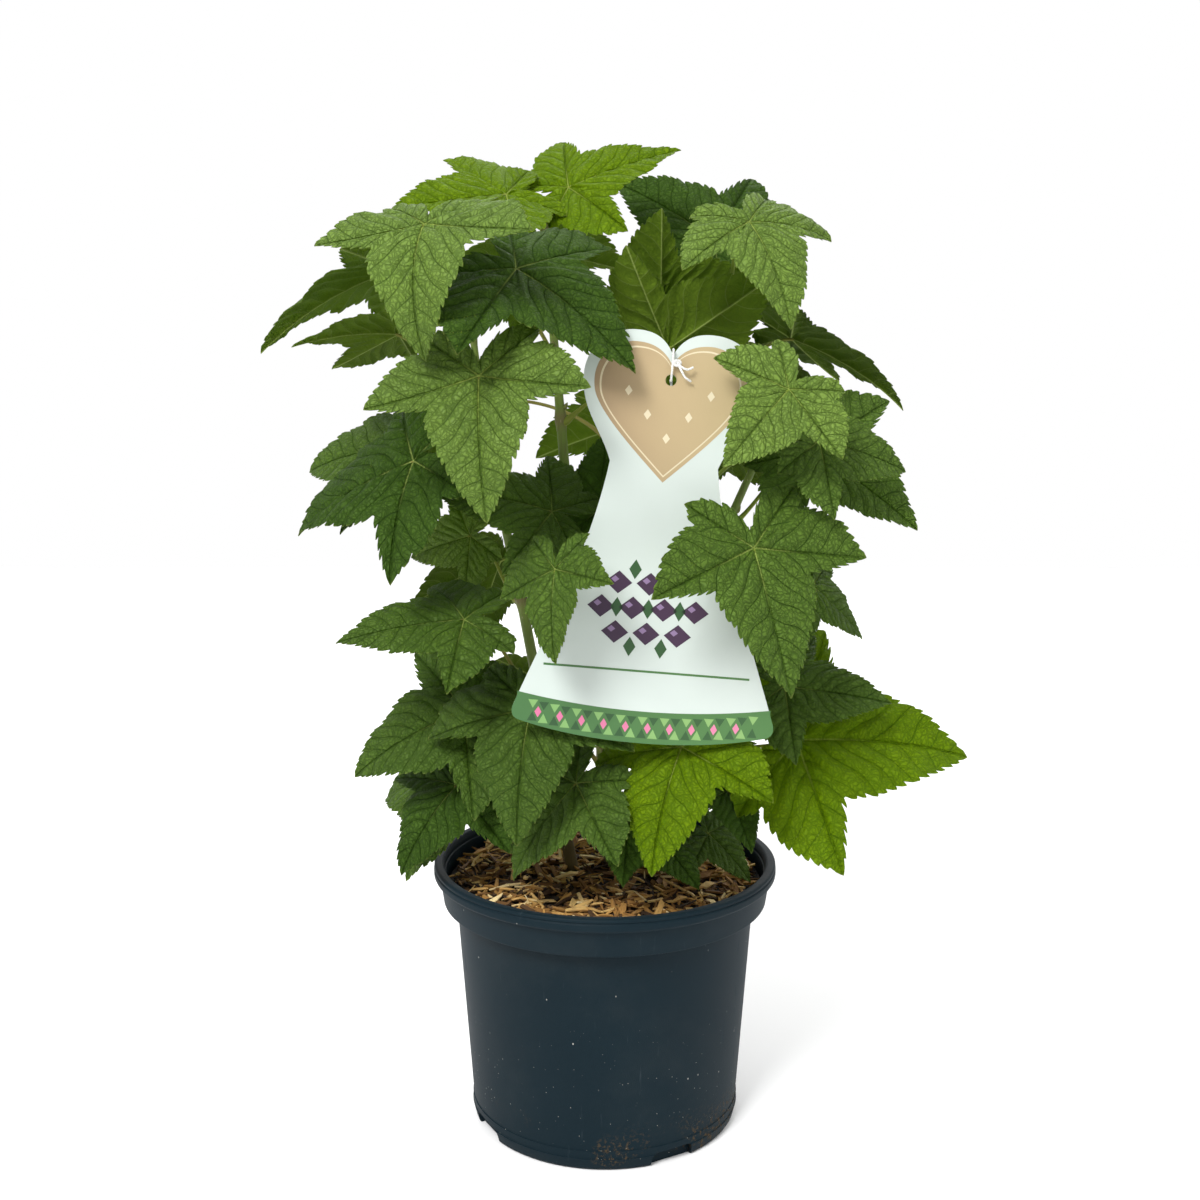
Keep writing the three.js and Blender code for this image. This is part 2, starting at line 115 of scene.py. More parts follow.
# Leaf margin: angle from the midrib in degrees and reach of the tooth points as a share of length
MARGIN = np.array([
    (0, 1.0), (1.5, 0.972), (4, 0.928), (8, 0.857), (12, 0.798), (17, 0.734), (22, 0.677), (28, 0.621),
    (35, 0.575), (42, 0.54), (49, 0.5), (56, 0.462), (60, 0.51), (65, 0.598), (70, 0.71), (73, 0.79),
    (75, 0.84), (77, 0.825), (80, 0.795), (87, 0.735), (96, 0.67), (105, 0.598), (112, 0.535),
    (118, 0.485), (124, 0.525), (131, 0.56), (143, 0.485), (157, 0.35), (170, 0.19), (180, 0.09),
]).T
# Each toothed edge of a half leaf: angle at the lobe's tip, angle at its other end, teeth
TOOTHED = ((0, 56, 13), (75, 56, 6), (75, 118, 9), (131, 118, 3), (131, 172, 6))
TOOTH_DEPTH = 0.028
TOOTH_STEPS = np.array((0.0, 0.14, 0.48, 0.84))
TOOTH_NOTCH = np.array((0.28, 0.0, 0.22, 1.0))
# Main veins of a half leaf: angle, and spacing of its side veins as a share of length
VEIN_ANGLES = np.array((0, 75, 131))
VEIN_PITCH = np.array((0.15, 0.14, 0.13))
VEIN_BORDERS = (53, 113)
BLADE = 0.36
BLADE_RINGS = 30
BLADE_WAVE = 0.05
BLADE_UNEVEN = 0.06
BLADE_SINK = 0.02
# Relief as shares of length: quilting between side veins, fold along main veins and its width, and
# ripples of the margin, each with its height, waves round the leaf and offset
QUILT = 0.02
FOLD = 0.034
FOLD_WIDTH = 0.09
RIPPLES = ((0.012, 11, 5), (0.006, 23, 3))
STALK_RADIUS = 1.15
STALK_RISE = 0.9
GAP = 0.3
STALK_OFFSET = GAP + 0.7 * 1.3

# Leaves, as in the part's source: cane, height on it, blade foot x, y, z, azimuth and elevation
# that it faces, turn of its tip from downhill, length, bend of midrib and of sides, tone
LEAVES = (
    ("left", 486, -93, -110, 541, -22, 50, -4, 75, 84, -8, "light"),
    ("left", 496, -130, 30, 526, -128, 66, -40, 94, 32, 12, "mid"),
    ("left", 440, -124, 14, 488, -150, 68, -98, 72, 15, 5, "mid"),
    ("middle", 470, -47, -88, 520, 15, 52, -43, 87, 27, 16, "dark"),
    ("left", 400, -66, -112, 464, -15, 30, -7, 76, 30, -10, "light"),
    ("left", 382, -109, -50, 416, -37, 46, 60, 96, 22, 30, "dark"),
    ("left", 392, -122, 10, 420, -32, 49, 83, 85, 21, 12, "mid"),
    ("middle", 528, -58, 8, 568, 12, 60, 76, 73, 2, 4, "young"),
    ("middle", 536, -22, 18, 573, -22, 48, -127, 72, 8, 16, "young"),
    ("rear", 480, 69, 58, 545, 10, 35, 135, 82, 15, 20, "dark"),
    ("right", 496, 78, -62, 546, 10, 46, -18, 64, 42, 42, "light"),
    ("right", 456, 33, 2, 506, 178, 32, 105, 64, 0, -5, "mid"),
    ("middle", 436, 36, -30, 478, 172, 22, 125, 76, 0, -10, "mid"),
    ("right", 446, 115, 35, 486, 112, 62, 45, 88, 20, 0, "dark"),
    ("front", 432, 95, -112, 457, 5, 26, 42, 54, 22, 4, "light"),
    ("front", 378, 117, -48, 421, 5, 40, -52, 74, 18, 12, "mid"),
    ("right", 366, 70, 34, 418, 150, 58, 45, 76, 15, 5, "dark"),
    ("middle", 330, -30, -51, 387, 25, 47, 121, 67, 40, 10, "mid"),
    ("middle", 345, -3, -26, 386, -12, 25, 178, 52, 10, 10, "dark"),
    ("middle", 296, -27, -121, 364, -48, 22, -12, 52, 29, 6, "mid"),
    ("left", 330, -82, 6, 366, -20, 20, 73, 46, 20, 10, "light"),
    ("left", 268, -79, -72, 329, 5, 65, 85, 72, 20, 28, "mid"),
    ("left", 236, -82, -46, 270, -8, 46, 64, 80, 42, 28, "mid"),
    ("middle", 224, -42, -82, 280, -15, 42, 0, 78, 40, 30, "mid"),
    ("left", 200, -88, -42, 224, -27, 50, 20, 66, 42, 28, "dark"),
    ("left", 196, -17, -76, 235, -40, 40, 24, 70, 28, 8, "mid"),
    ("left", 186, -92, -4, 219, -50, 45, 70, 80, 20, 15, "mid"),
    ("middle", 178, 14, -56, 212, 0, 55, 5, 48, 24, 20, "dark"),
    ("front", 212, 42, -90, 260, -25, 42, 5, 74, 42, 35, "young"),
    ("front", 192, 72, -48, 222, 20, 50, -5, 40, 20, 15, "dark"),
    ("front", 172, 32, -52, 193, 20, 60, -20, 40, 20, 15, "dark"),
    ("front", 180, 62, -30, 190, 35, 50, -25, 40, 20, 15, "mid"),
    ("front", 316, 78, -118, 375, 22, 24, -6, 80, 10, -6, "mid"),
    ("front", 246, 104, -48, 285, -8, 52, -84, 62, 12, 18, "mid"),
    ("right", 214, 112, -45, 252, -12, 42, -97, 104, 30, 22, "young"),
    ("front", 300, 121, -35, 342, 45, 35, -40, 48, 20, 15, "mid"),
    ("rear", 496, -43, 92, 541, -150, 50, 10, 78, 30, 15, "mid"),
    ("rear", 486, 58, 104, 520, 150, 50, -10, 74, 30, 15, "mid"),
    ("rear", 420, 98, 102, 462, 125, 45, 10, 82, 30, 15, "dark"),
    ("rear", 420, -95, 105, 440, -130, 45, 0, 84, 30, 15, "dark"),
    ("rear", 370, 20, 118, 430, 175, 35, 5, 86, 30, 15, "mid"),
    ("rear", 300, 72, 98, 350, 140, 40, 0, 84, 30, 15, "mid"),
    ("rear", 290, -70, 98, 340, -140, 40, 5, 84, 30, 15, "dark"),
    ("rear", 230, 60, 95, 265, 150, 45, 0, 78, 30, 15, "mid"),
    ("rear", 220, -50, 98, 260, -155, 45, 0, 78, 30, 15, "mid"),
    ("right", 392, 115, -88, 429, 12, 34, -76, 54, 20, 10, "mid"),
)

# Leaf tones: display colours of the upper face, its deeper tone for mottling and for painted shade in the
# sunken veins, the under face and the light that comes through, and the strength of the gloss
LEAF_TONES = {
    "young": ((116, 144, 4), (64, 96, 0), (120, 144, 12), (174, 200, 0), 0.12),
    "light": ((123, 151, 62), (56, 82, 20), (118, 140, 36), (158, 188, 10), 0.27),
    "mid": ((94, 122, 43), (40, 66, 8), (100, 124, 24), (138, 172, 5), 0.2),
    "dark": ((76, 106, 32), (32, 57, 6), (86, 108, 22), (116, 150, 5), 0.14),
}
# Tint of leaves that stand out, from 0, pale, to 1, deep, leaf 24's full deep tint being painted shade for
# the shadow it lies in; the others get theirs by chance
LEAF_TINTS = {4: 0.7, 5: 0.7, 15: 0.0, 22: 0.8, 24: 1.0, 29: 0.6, 33: 0.0}

# Label card and its elastic tie
LABEL_HEIGHT = 222
LABEL_THICKNESS = 0.8
LABEL_HOLE_RADIUS = 3
LABEL_HOLE_DROP = 25
LABEL_FOOT = (19, -104, 265)
LABEL_LEAN = 4.6
LABEL_TILT = 4
LABEL_BAND = 18
INK_THICKNESS = 0.05
# Printed lattice, across and up from the card's foot: its middle, the spacing of its lozenges, how
# many are in each row, and the small leaves, from the middle; then the marks on the heart panel
LATTICE_PLACE = (-2, 74)
LATTICE_PITCH = (17, 13.5)
LATTICE_ROWS = (3, 4, 3)
LATTICE_LEAVES = ((-17, 0), (0, 0), (17, 0), (-8.5, 21), (8.5, 21), (-8.5, -21), (8.5, -21))
PANEL_MARKS = ((-22, 190), (22, 190), (0, 166), (-11, 178), (11, 178))
# Inks of the label, the bare card first: display colours that each shades between
LABEL_INKS = {
    "card": ((190, 200, 194), (198, 207, 201)),
    "tan": ((140, 114, 88), (190, 172, 130)),
    "cream": ((206, 192, 160), (212, 202, 172)),
    "green": ((62, 104, 56), (74, 116, 62)),
    "leaf": ((38, 74, 38), (48, 86, 44)),
    "lime": ((116, 158, 92), (130, 168, 100)),
    "plum": ((50, 32, 56), (66, 40, 66)),
    "lilac": ((126, 104, 140), (140, 116, 150)),
    "pink": ((196, 104, 140), (210, 128, 156)),
}
TIE_RADIUS = 0.6
TIE_HEIGHT = 428


# Shader maths

def srgb(red, green, blue):
    """Linear colour, with alpha, from display values of 0 to 255."""
    share = np.array((red, green, blue)) / 255
    linear = np.where(share <= 0.04045, share / 12.92, ((share + 0.055) / 1.055) ** 2.4)
    return (*(float(x) for x in linear), 1.0)


class Value:
    """A node's output, with arithmetic: each operator adds a Math node."""

    def __init__(self, finish, socket):
        self.finish = finish
        self.socket = socket

    def math(self, operation, first, second=0.0):
        return self.finish.node("ShaderNodeMath", {"operation": operation}, {0: first, 1: second})

    def __add__(self, other):
        return self.math("ADD", self, other)

    def __sub__(self, other):
        return self.math("SUBTRACT", self, other)

    def __rsub__(self, other):
        return self.math("SUBTRACT", other, self)

    def __mul__(self, other):
        return self.math("MULTIPLY", self, other)

    def __abs__(self):
        return self.math("ABSOLUTE", self)

    def rounded(self):
        return self.math("ROUND", self)

    def most(self, other):
        return self.math("MAXIMUM", self, other)

    __radd__ = __add__
    __rmul__ = __mul__


class Finish:
    """Nodes of a material or of the surround, with one method that adds a node."""

    def __init__(self, owner):
        owner.use_nodes = True
        self.owner = owner
        self.tree = owner.node_tree
        self.tree.nodes.clear()

    def node(self, kind, settings, sockets, out=0):
        """Adds a node of a kind, sets its settings, then its sockets to values or links."""
        made = self.tree.nodes.new(kind)
        for key, setting in settings.items():
            if key == "stops":
                for element, (place, colour) in zip(made.color_ramp.elements, setting):
                    element.position, element.color = place, colour
                for place, colour in setting[len(made.color_ramp.elements):]:
                    made.color_ramp.elements.new(place).color = colour
            else:
                setattr(made, key, setting)
        for key, value in sockets.items():
            if isinstance(value, Value):
                self.tree.links.new(value.socket, made.inputs[key])
            else:
                made.inputs[key].default_value = value
        return Value(self, made.outputs[out])

    def attribute(self, name):
        return self.node("ShaderNodeAttribute", {"attribute_name": name}, {}, "Fac")

    def map(self, name):
        return self.node("ShaderNodeUVMap", {"uv_map": name}, {}, "UV")

    def place(self, scale=(1, 1, 1)):
        """Object coordinates in metres, stretched by a scale."""
        spot = self.node("ShaderNodeTexCoord", {}, {}, "Object")
        return self.node("ShaderNodeMapping", {}, {"Vector": spot, "Scale": scale})

    def split(self, vector):
        return [self.node("ShaderNodeSeparateXYZ", {}, {0: vector}, axis) for axis in "XYZ"]

    def noise(self, vector, scale, detail=2.0, rough=0.5):
        sockets = {"Vector": vector, "Scale": scale, "Detail": detail, "Roughness": rough}
        return self.node("ShaderNodeTexNoise", {}, sockets)

    def cells(self, vector, scale, feature="F1", dimensions="3D"):
        settings = {"feature": feature, "voronoi_dimensions": dimensions}
        return self.node("ShaderNodeTexVoronoi", settings, {"Vector": vector, "Scale": scale}, "Distance")

    def step(self, value, low, high, least=0.0):
        """The least value below low, 1 above high and a smooth rise between, or a fall where high is
        the lower."""
        settings = {"interpolation_type": "SMOOTHSTEP"}
        sockets = {"Value": value, "From Min": low, "From Max": high, "To Min": least}
        return self.node("ShaderNodeMapRange", settings, sockets)

    def mix(self, share, first, second):
        """Colour between two colours."""
        return self.node("ShaderNodeMix", {"data_type": "RGBA"}, {0: share, 6: first, 7: second}, 2)

    def bump(self, height, depth):
        return self.node("ShaderNodeBump", {}, {"Height": height, "Distance": depth, "Strength": 1.0})

    def surface(self, **sockets):
        """Principled shader with the sockets given by name, underscores standing for spaces."""
        named = {key.replace("_", " "): value for key, value in sockets.items()}
        return self.node("ShaderNodeBsdfPrincipled", {}, named)

    def done(self, shader, output="ShaderNodeOutputMaterial"):
        """Links the shader to the output and gives the finished material or surround."""
        self.tree.links.new(shader.socket, self.tree.nodes.new(output).inputs["Surface"])
        return self.owner


def new_finish(name):
    return Finish(bpy.data.materials.new(name))


# Meshes

def grid_faces(rows, columns, wrap=False):
    """Quads of a rows by columns grid of points numbered row by row, wrapped along the columns or not.
    They face the side from which the columns run to the right and the rows upward."""
    last = columns if wrap else columns - 1
    row, column = np.meshgrid(np.arange(rows - 1), np.arange(last), indexing="ij")
    beside = (column + 1) % columns
    corners = (row * columns + column, row * columns + beside,
               (row + 1) * columns + beside, (row + 1) * columns + column)
    return np.stack(corners, -1).reshape(-1, 4)


def fan_faces(ring, centre):
    """Triangles from a ring of point numbers to a centre point."""
    return np.stack((ring, np.roll(ring, -1), np.full(len(ring), centre)), -1)


def make_piece(name, points, faces, materials, slot, replaces=(),
               smooth=True, shades=None, maps=None, marks=None):
    """Mesh object that rides on the part. Points are in millimetres; faces is a list of arrays of
    triangles, quads or longer polygons; shades gives point attributes, maps gives a UV for each
    face corner, and marks gives each face's material number."""
    mesh = bpy.data.meshes.new(name)
    points = np.asarray(points, float)
    counts = np.concatenate([np.full(len(f), f.shape[1]) for f in faces])
    corners = np.concatenate([f.ravel() for f in faces])
    starts = np.concatenate(([0], np.cumsum(counts)[:-1]))
    mesh.vertices.add(len(points))
    mesh.vertices.foreach_set("co", (points * MM).astype(np.float32).ravel())
    mesh.loops.add(len(corners))
    mesh.loops.foreach_set("vertex_index", corners.astype(np.int32))
    mesh.polygons.add(len(counts))
    mesh.polygons.foreach_set("loop_start", starts.astype(np.int32))
    if marks is not None:
        mesh.polygons.foreach_set("material_index", np.asarray(marks, np.int32))
    mesh.update(calc_edges=True)
    for key, values in (shades or {}).items():
        mesh.attributes.new(key, "FLOAT", "POINT").data.foreach_set("value", np.asarray(values, np.float32))
    for key, values in (maps or {}).items():
        mesh.uv_layers.new(name=key).data.foreach_set("uv", np.asarray(values, np.float32).ravel())
    mesh.polygons.foreach_set("use_smooth", np.full(len(counts), smooth))
    for material in materials:
        mesh.materials.append(material)
    mesh.update()
    piece = bpy.data.objects.new(name, mesh)
    bpy.context.scene.collection.objects.link(piece)
    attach(piece, BODY)
    if replaces:
        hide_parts(*replaces)
    return piece


def unit(vectors):
    return vectors / np.linalg.norm(vectors, axis=-1, keepdims=True)


def smooth_route(points, steps, power, closed=False):
    """Points on a Catmull-Rom curve through given points, steps to a stretch. Each knot lies
    the distance to the last one, raised to power, further on."""
    points = np.asarray(points, float)
    if closed:
        padded = np.concatenate((points[-1:], points, points[:2]))
    else:
        padded = np.concatenate((2 * points[:1] - points[1:2], points, 2 * points[-1:] - points[-2:-1]))
    gaps = (np.linalg.norm(np.diff(padded, axis=0), axis=1) ** power)[:, None]
    slope = (padded[1:-1] - padded[:-2]) / gaps[:-1] + (padded[2:] - padded[1:-1]) / gaps[1:]
    slope -= (padded[2:] - padded[:-2]) / (gaps[:-1] + gaps[1:])
    start, end = padded[1:-2, None], padded[2:-1, None]
    span = gaps[1:-1, None]
    t = (np.arange(steps) / steps)[None, :, None]
    route = ((2 * t**3 - 3 * t**2 + 1) * start + (t**3 - 2 * t**2 + t) * span * slope[:-1, None]
             + (3 * t**2 - 2 * t**3) * end + (t**3 - t**2) * span * slope[1:, None]).reshape(-1, 3)
    return route if closed else np.concatenate((route, points[-1:]))


def tube(path, radius, sides, closed=False):
    """Round profile carried along a path without twist: at each point a ring square to the path,
    its radius given there. Open ends are closed by fans. Returns points and faces."""
    heading = unit(np.roll(path, -1, 0) - np.roll(path, 1, 0) if closed else np.gradient(path, axis=0))
    across = np.empty_like(path)
    level = np.eye(3)[np.argmin(np.abs(heading[0]))]
    for place, ahead in enumerate(heading):
        level = unit(level - ahead * (level @ ahead))
        across[place] = level
    if closed:
        twist = np.arctan2(np.cross(across[-1], across[0]) @ heading[0], across[-1] @ across[0])
        spin = (np.arange(len(path)) / len(path) * twist)[:, None]
        across = across * np.cos(spin) + np.cross(heading, across) * np.sin(spin)
    upward = np.cross(heading, across)
    turn = np.arange(sides) / sides * 2 * np.pi
    around = across[:, None] * np.cos(turn)[:, None] + upward[:, None] * np.sin(turn)[:, None]
    points = (path[:, None] + around * np.broadcast_to(radius, len(path))[:, None, None]).reshape(-1, 3)
    rows = len(path)
    if closed:
        return points, [grid_faces(rows + 1, sides, True) % (rows * sides)]
    ends = np.arange(sides), (rows - 1) * sides + np.arange(sides)
    points = np.concatenate((points, path[:1], path[-1:]))
    caps = np.concatenate((fan_faces(ends[0][::-1], rows * sides), fan_faces(ends[1], rows * sides + 1)))
    return points, [grid_faces(rows, sides, True), caps]


def joined(parts):
    """Several shapes, each points and faces, as one list of points and one of faces."""
    points, faces, first = [], [], 0
    for shape, shape_faces in parts:
        points.append(shape)
        faces.extend(f + first for f in shape_faces)
        first += len(shape)
    return np.concatenate(points), faces


# Finishes

def leaf_finish(name, upper, deep, under, glow, sheen):
    """Leaf tissue: puckered between a net of fine sunken veins, their darker colour painted shade in the
    grooves, the main veins pale near the stalk and darker further out, also painted shade, the underside
    paler with raised veins, and light that comes through."""
    f = new_finish(name)
    below = f.attribute("under")
    stalk = f.attribute("stalk")
    reach = f.attribute("reach")
    tint = f.attribute("tint")
    phase, off_vein, _ = f.split(f.map("rib"))
    flat = f.map("flat")
    sway = f.node("ShaderNodeTexNoise", {"noise_dimensions": "2D"}, {"Vector": flat, "Scale": 14.0}, "Color")
    shift = {0: sway, 1: (0.06, 0.06, 0.0), 2: flat}
    bent = f.node("ShaderNodeVectorMath", {"operation": "MULTIPLY_ADD"}, shift)
    blotch = f.noise(flat, 5.0, 3.0, 0.6)
    grain = f.noise(flat, 90.0, 2.0)
    coarse = f.cells(bent, 20.0, "DISTANCE_TO_EDGE", "2D")
    fine = f.cells(bent, 44.0, "DISTANCE_TO_EDGE", "2D")
    side_vein = f.step(abs(phase - phase.rounded()), 0.045, 0.008) * f.step(off_vein, 0.8, 0.1)
    main_vein = f.step(off_vein, 0.009, 0.003)
    near = f.step(reach, 0.5, 0.02)
    lines = side_vein.most(f.step(coarse, 0.1, 0.01) * 0.62).most(f.step(fine, 0.15, 0.02) * 0.5)
    puff = f.step(coarse, 0.0, 0.5) * 0.5 + f.step(fine, 0.0, 0.5) * 0.5
    green = f.mix(f.step(blotch + 0.35 * tint, 0.25, 1.05) * 0.5, upper, deep)
    # Vein lines mixed towards the deep tone: painted shade in the sunken veins.
    green = f.mix(lines * 0.95, green, deep)
    pale = f.mix(0.5, glow, srgb(196, 206, 130))
    # Main veins darker away from the stalk: painted shade in their groove; near the stalk they are pale.
    green = f.mix(main_vein * (1.0 - near) * 0.35, green, deep)
    green = f.mix(main_vein * near * 0.75, green, pale)
    green = f.mix(f.step(reach, 0.982, 1.0) * 0.3, green, srgb(176, 178, 96))
    underside = f.mix(blotch * 0.5, under, deep)
    underside = f.mix(lines * 0.35, underside, deep)
    underside = f.mix((side_vein * 0.3).most(main_vein * 0.7), underside, srgb(166, 184, 96))
    green = f.mix(below, green, underside)
    green = f.mix(stalk, green, f.mix(tint, srgb(132, 150, 56), srgb(142, 132, 70)))
    height = puff * 0.28 + grain * 0.05 - lines * 0.55 - main_vein * 0.5
    height = height * (1.0 - 1.7 * below) * (1.0 - stalk)
    skin = f.surface(
        Base_Color=green,
        Roughness=0.5 + 0.14 * grain + 0.2 * below + 0.12 * lines,
        Normal=f.bump(height, 0.0013),
        Specular_IOR_Level=sheen,
    )
    through = f.node("ShaderNodeBsdfTranslucent", {}, {"Color": glow})
    return f.done(f.node("ShaderNodeMixShader", {}, {0: 0.28, 1: skin, 2: through}))


def cane_finish():
    """Young bark: green towards the tips and grey-brown towards the foot, with fine lengthwise
    streaks, small pale pores and darker joints where the stalks leave."""
    f = new_finish("cane_bark")
    rise = f.attribute("rise")
    joint = f.attribute("joint")
    streak = f.noise(f.place((1, 1, 0.08)), 900.0, 3.0)
    pore = f.step(f.cells(f.place((1, 1, 0.45)), 260.0), 0.16, 0.06)
    age = f.step(rise + 0.25 * streak, 0.6, 0.12)
    bark = f.mix(age, srgb(104, 126, 44), srgb(112, 98, 62))
    bark = f.mix(f.step(streak, 0.45, 0.75) * 0.5, bark, srgb(92, 80, 52))
    bark = f.mix(pore * 0.5, bark, srgb(186, 174, 132))
    bark = f.mix(joint * 0.6, bark, srgb(112, 84, 62))
    height = streak * 0.5 + pore * 0.6
    return f.done(f.surface(Base_Color=bark, Roughness=0.5 + 0.25 * streak, Normal=f.bump(height, 0.0003)))


def pot_finish():
    """Moulded plastic, blue-black: faint mottling, fine upright scuffs, pale dust specks and crumbs of
    brown soil near the foot."""
    f = new_finish("pot_plastic")
    place = f.place()
    height = f.split(place)[2]
    mottle = f.noise(place, 9.0, 4.0, 0.6)
    grain = f.noise(place, 1500.0, 2.0)
    scuff = f.step(f.noise(f.place((1, 1, 0.09)), 260.0, 3.0, 0.6), 0.64, 0.78)
    speck = f.step(f.cells(f.place((1, 1, 0.6)), 150.0), 0.075, 0.03)
    speck = speck * f.step(f.noise(place, 46.0, 1.0), 0.52, 0.62)
    low = f.step(height, 0.035, 0.004)
    dust = f.step(f.cells(place, 300.0), 0.1, 0.05) * f.step(f.noise(place, 60.0, 1.0), 0.42, 0.6)
    speck = speck.most(dust * f.step(height, 0.11, 0.03) * 0.7)
    patch = f.step(f.noise(place, 20.0, 3.0), 0.46, 0.62)
    soil = f.step(f.noise(place, 420.0, 4.0, 0.7), 0.5, 0.66) * patch * low
    film = f.step(f.noise(place, 14.0, 5.0, 0.65), 0.45, 0.85) * 0.06
    colour = f.mix(mottle, srgb(10, 26, 33), srgb(16, 34, 42))
    colour = f.mix(film, colour, srgb(96, 98, 94))
    colour = f.mix(scuff * 0.1, colour, srgb(110, 120, 126))
    colour = f.mix(soil * 0.7, colour, srgb(104, 84, 56))
    colour = f.mix(speck * 0.75, colour, srgb(196, 196, 188))
    rough = 0.5 + 0.12 * mottle + 0.25 * scuff + 0.4 * soil + 0.3 * film
    bumps = grain * 0.3 + soil * 1.5 + speck * 0.8 - scuff * 0.2
    normal = f.bump(bumps, 0.0002)
    return f.done(f.surface(Base_Color=colour, Roughness=rough, Normal=normal, Specular_IOR_Level=0.1))


def chip_finish():
    """Split wood: each chip its own tan, orange or brown, with lengthwise grain."""
    f = new_finish("wood_chip")
    # Per-chip value: the chip's own tone, darkened for the deeper chips as painted shade.
    hue = f.attribute("hue")
    along, around, _ = f.split(f.map("grain"))
    fibre_place = f.node("ShaderNodeCombineXYZ", {}, {0: along * 0.8, 1: around * 9.0, 2: hue * 40.0})
    fibre = f.noise(fibre_place, 3.0, 4.0, 0.6)
    stops = [(0.0, srgb(44, 28, 12)), (0.25, srgb(84, 56, 24)), (0.45, srgb(140, 98, 44)),
             (0.62, srgb(190, 142, 72)), (0.82, srgb(220, 182, 112)), (1.0, srgb(242, 220, 166))]
    wood = f.node("ShaderNodeValToRGB", {"stops": stops}, {0: hue})
    wood = f.mix(f.step(fibre, 0.45, 0.75) * 0.5, wood, srgb(76, 50, 22))
    return f.done(f.surface(Base_Color=wood, Roughness=0.72 + 0.2 * fibre, Normal=f.bump(fibre, 0.0006)))


def soil_finish(name, dark, pale):
    """Moist compost: near black crumbs with paler fibres. Under the mulch chips the same finish, in darker
    colours, is painted shade.
    """
    f = new_finish(name)
    place = f.place()
    crumb = f.noise(place, 320.0, 6.0, 0.7)
    fibre = f.step(f.noise(f.place((1, 0.2, 1)), 420.0, 3.0), 0.6, 0.75)
    colour = f.mix(f.step(crumb, 0.35, 0.75), dark, pale)
    colour = f.mix(fibre * 0.5, colour, srgb(120, 88, 56))
    return f.done(f.surface(Base_Color=colour, Roughness=0.85 + 0.1 * crumb, Normal=f.bump(crumb, 0.002)))


def card_finish(name, colour, second):
    """Coated card print: colour going slowly from its first tone at the left to its second at the right, over
    a faint paper tooth.
    """
    f = new_finish(name)
    place = f.place()
    cloud = f.noise(place, 11.0, 2.0)
    tooth = f.noise(place, 1800.0, 2.0)
    across = f.split(place)[0]
    drift = f.step(across + 0.02 * cloud, -0.045, 0.09)
    ink = f.mix(drift * 0.8, colour, second)
    rough = 0.34 + 0.1 * tooth + 0.06 * cloud
    return f.done(f.surface(Base_Color=ink, Roughness=rough, Normal=f.bump(tooth, 0.00004)))


def elastic_finish():
    """White braided elastic: small slanted stitches round the cord."""
    f = new_finish("tie_elastic")
    along, around, _ = f.split(f.map("braid"))
    stitch_place = f.node("ShaderNodeCombineXYZ", {}, {0: along + around, 1: along - around, 2: 0.0})
    stitch = f.cells(stitch_place, 1.0)
    colour = f.mix(f.step(stitch, 0.2, 0.7), srgb(247, 247, 243), srgb(206, 206, 200))
    return f.done(f.surface(Base_Color=colour, Roughness=0.7 + 0.15 * stitch, Normal=f.bump(stitch, 0.0003)))


def floor_finish():
    """Matt white floor with the faintest unevenness."""
    f = new_finish("floor_white")
    cloud = f.noise(f.place(), 3.0, 2.0)
    colour = f.mix(cloud, srgb(246, 246, 246), srgb(250, 250, 250))
    return f.done(f.surface(Base_Color=colour, Roughness=0.9 + 0.05 * cloud))


# Pot

def rounded_profile(corners):
    """Profile of radius and height whose corners, each given with a rounding, become short curves:
    every corner is left and met again at its rounding's distance, through a parabola."""
    spots = np.array([c[:2] for c in corners], float)
    cut = np.array([c[2] for c in corners], float)[1:-1, None]
    before = spots[1:-1] + unit(spots[:-2] - spots[1:-1]) * cut
    after = spots[1:-1] + unit(spots[2:] - spots[1:-1]) * cut
    t = np.linspace(0, 1, 6)[None, :, None]
    curves = (1 - t) ** 2 * before[:, None] + 2 * t * (1 - t) * spots[1:-1, None] + t**2 * after[:, None]
    return np.concatenate((spots[:1], curves.reshape(-1, 2), spots[-1:]))


def turned(profile, sides):
    """Profile of radius and height turned about Z, its two ends on the axis."""
    turn = np.arange(sides) / sides * 2 * np.pi
    radius, height = profile[1:-1, 0, None], profile[1:-1, 1, None]
    body = np.stack(np.broadcast_arrays(radius * np.cos(turn), radius * np.sin(turn), height), -1)
    rows = len(profile) - 2
    poles = np.array([(0, 0, profile[0, 1]), (0, 0, profile[-1, 1])])
    points = np.concatenate((body.reshape(-1, 3), poles))
    ring = np.arange(sides)
    caps = np.concatenate((fan_faces(ring[::-1], rows * sides),
                           fan_faces((rows - 1) * sides + ring, rows * sides + 1)))
    return points, [grid_faces(rows, sides, True), caps]


def notch_cutters():
    """Drain notches: blocks with an arched top, set round the foot across the pot's lower corner."""
    width = NOTCH_WIDTH / 2
    arch = np.linspace(0, np.pi, 17)
    flat = np.stack((width * np.sign(np.cos(arch)) * np.abs(np.cos(arch)) ** 0.35,
                     NOTCH_HEIGHT * np.sin(arch) ** 0.35), -1)
    outline = np.concatenate((flat, ((-width, -NOTCH_HEIGHT), (width, -NOTCH_HEIGHT))))
    count = len(outline)
    parts = []
    for turn in np.radians(NOTCH_AZIMUTH - 90 + np.arange(NOTCHES) * 360 / NOTCHES):
        outward, aside = np.array((np.cos(turn), np.sin(turn), 0)), np.array((-np.sin(turn), np.cos(turn), 0))
        rings = [outward * reach + aside * outline[:, :1] + np.array((0, 0, 1)) * outline[:, 1:]
                 for reach in (BASE_RADIUS - 5, BASE_RADIUS + 7)]
        ring = np.arange(count)
        sides = grid_faces(2, count, True)
        parts.append((np.concatenate(rings), [sides, ring[None, ::-1], (count + ring)[None]]))
    return joined(parts)


